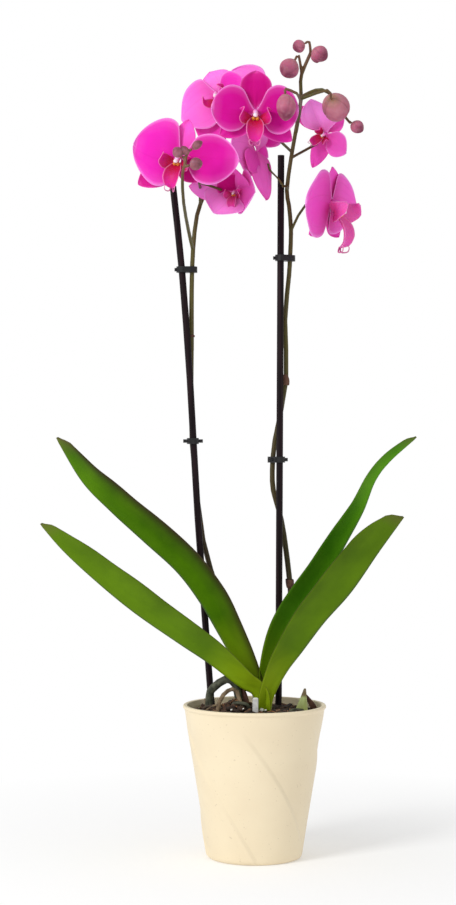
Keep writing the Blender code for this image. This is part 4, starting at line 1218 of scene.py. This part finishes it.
def stem_skin():
    stem = Skin("stem_waxy", 0.45, gloss=0.3, glow=0.08)
    body = stem.ramp(
        stem.value("along"),
        (0.0, (0.026, 0.007, 0.011)),
        (0.10, (0.034, 0.016, 0.010)),
        (0.30, (0.046, 0.034, 0.008)),
        (0.85, (0.085, 0.072, 0.012)),
    )
    streak = stem.ramp(stem.noise(150.0, 4.0, (1, 1, 0.12)), (0.4, 0.0), (0.7, 1.0))
    body = stem.tint(body, streak, 0.5, (0.045, 0.017, 0.014))
    stem.colour(stem.tint(body, stem.value("tone"), 0.5, (0.26, 0.11, 0.08)))
    stem.bump(stem.noise(500.0, 4.0, UPRIGHT), 0.3, 0.0004)
    return stem.material


def stub_skin():
    """The cut leaf stub, green below and dried brown at the cut."""
    stub = Skin("cut_leaf_fibrous", 0.5)
    high = stub.add("SeparateXYZ", {"Vector": stub.place()}).outputs["Z"]
    span = {"From Min": RIM - 0.004, "From Max": RIM + 0.010}
    fade = stub.add("MapRange", {"Value": high, **span}).outputs["Result"]
    greens = ((0.0, (0.30, 0.34, 0.10)), (0.75, (0.42, 0.50, 0.20)))
    body = stub.ramp(fade, *greens, (0.92, (0.16, 0.11, 0.05)))
    fibres = stub.ramp(stub.noise(300.0, 4.0, UPRIGHT), (0.5, 0.0), (0.7, 0.4))
    stub.colour(stub.blend(fibres, body, (0.20, 0.16, 0.06)))
    stub.bump(stub.noise(500.0, 4.0, UPRIGHT), 0.4, 0.0005)
    return stub.material


def pot_skin():
    pot = Skin("pot_glazed_ceramic", 0.48)
    shades = ((0.35, (0.83, 0.705, 0.495)), (0.65, (0.86, 0.740, 0.525)))
    body = pot.ramp(pot.noise(22.0, 4.0), *shades)
    specks = pot.ramp(pot.noise(420.0, 2.0), (0.68, 0.0), (0.74, 1.0))
    pot.colour(pot.tint(body, specks, 0.35, (0.46, 0.35, 0.22)))
    pot.bump(pot.noise(600.0), 0.06, 0.0004)
    return pot.material


def bark_skin():
    """Bark chips, from nearly black to a few tan ones."""
    bark = Skin("bark_chip", 0.82)
    body = bark.ramp(
        bark.value("tone"),
        (0.0, (0.014, 0.008, 0.006)),
        (0.6, (0.050, 0.024, 0.014)),
        (0.88, (0.15, 0.060, 0.028)),
        (1.0, (0.28, 0.17, 0.09)),
    )
    crumbs = bark.ramp(bark.noise(500.0, 5.0), (0.4, 0.0), (0.6, 0.75))
    bark.colour(bark.blend(crumbs, body, (0.025, 0.014, 0.009)))
    bark.bump(bark.noise(600.0, 6.0, (1, 1, 2)), 0.7, 0.0006)
    return bark.material


def make_skins():
    throat, deep, full = (0.42, 0.001, 0.13), (0.56, 0.002, 0.25), (0.82, 0.020, 0.49)
    skins = {"petal": petal_skin("petal_velvet", throat, deep, full, (0.95, 0.33, 0.80))}
    deep, full = (0.52, 0.002, 0.20), (0.74, 0.016, 0.39)
    skins["sepal"] = petal_skin("sepal_velvet", throat, deep, full, (0.84, 0.12, 0.52))
    skins.update(lip=lip_skin(), callus=callus_skin(), bud=bud_skin(), stem=stem_skin())
    skins.update(stub=stub_skin(), pot=pot_skin(), bark=bark_skin())
    for name, plain in PLAIN_SKINS.items():
        skins[name] = plain_skin(plain)
    for name, colours in LEAF_COLOURS.items():
        skins[name] = leaf_skin(name, *colours)
    for name, (dark, pale) in ROOT_COLOURS.items():
        stops = ((0.35, dark), (0.65, pale))
        plain = Plain(name, 0.75, (240.0, 5.0), stops, (700.0, 4.0), 0.4, 0.0005)
        skins[name] = plain_skin(plain)
    return skins


# ---- Floor, light and camera ----


FLOOR_REACH = 6.0
FLOOR_FADE = (0.12, 0.50)  # between these distances the floor turns from lit to glowing white


def make_stage():
    spans = (-FLOOR_REACH, FLOOR_REACH)
    mesh = bpy.data.meshes.new("floor")
    mesh.from_pydata([(x, y, 0) for y in spans for x in spans], [], [(0, 1, 3, 2)])
    skin = Skin("floor_matte_white", 0.95, gloss=0.0)
    far = skin.add("VectorMath", {0: skin.place()}, operation="LENGTH").outputs["Value"]
    limits = {"From Min": FLOOR_FADE[0], "From Max": FLOOR_FADE[1]}
    away = skin.add("MapRange", {"Value": far, **limits}).outputs["Result"]
    skin.colour(skin.ramp(away, (0.0, (0.82, 0.82, 0.82)), (1.0, (0.0, 0.0, 0.0))))
    glow = skin.ramp(away, (0.0, 0.22), (1.0, 1.0))
    skin.set(skin.shader, {"Emission Color": (1, 1, 1, 1), "Emission Strength": glow})
    mesh.materials.append(skin.material)
    made = linked("floor", mesh)


def add_light(name, place, aim, size, watts):
    lamp = bpy.data.lights.new(name, "AREA")
    lamp.shape = "DISK"
    lamp.size = size
    lamp.energy = watts
    made = linked(name, lamp)
    made.location = place
    made.rotation_euler = (Vector(aim) - Vector(place)).to_track_quat("-Z", "Y").to_euler()


WORLD_GLOW = 0.69
KEY_PLACE, KEY_AIM, KEY_SIZE, KEY_WATTS = (-1.3, -1.4, 1.3), (0, 0, 0.35), 0.7, 21.0


def make_light():
    """White all round, but a dimmer glow than it looks, and one soft key from the front left."""
    world = bpy.data.worlds.new("studio")
    world.use_nodes = True
    tree = world.node_tree
    back = tree.nodes["Background"]
    seen = tree.nodes.new("ShaderNodeLightPath").outputs["Is Camera Ray"]
    strength = tree.nodes.new("ShaderNodeMapRange")
    strength.inputs["To Min"].default_value = WORLD_GLOW
    tree.links.new(seen, strength.inputs["Value"])
    tree.links.new(strength.outputs["Result"], back.inputs["Strength"])
    back.inputs["Color"].default_value = (1, 1, 1, 1)
    bpy.context.scene.world = world
    add_light("key", KEY_PLACE, KEY_AIM, KEY_SIZE, KEY_WATTS)


CAMERA_PLACE = (-0.02385, -1.8, 0.3635)
CAMERA_LENS = 79.6


def make_camera():
    camera = bpy.data.cameras.new("camera")
    camera.lens = CAMERA_LENS
    camera.sensor_width = 36.0
    made = linked("camera", camera)
    made.location = CAMERA_PLACE
    made.rotation_euler = (math.radians(90), 0, 0)
    bpy.context.scene.camera = made


# ---- All of it ----

bpy.context.scene.view_settings.view_transform = "Standard"
skins = make_skins()
for number in BLOOMS:
    make_bloom(number, skins)
make_buds(skins)
for leaf in LEAVES:
    make_leaf(leaf, skins[leaf.name])
make_stems(skins)
make_crown(skins)
make_pot(skins["pot"])
make_bark(skins)
make_litter(skins)
make_scales(skins)
for skin, nodes in (
    ("grow_pot", ("grow_pot",)),
    ("stake", ("stake_left", "stake_right")),
    ("clip", ("clip_left_1", "clip_left_2", "clip_right_1", "clip_right_2")),
):
    for node in nodes:
        slots = NODES[node].data.materials
        slots.clear()
        slots.append(skins[skin])
make_stage()
make_light()
make_camera()
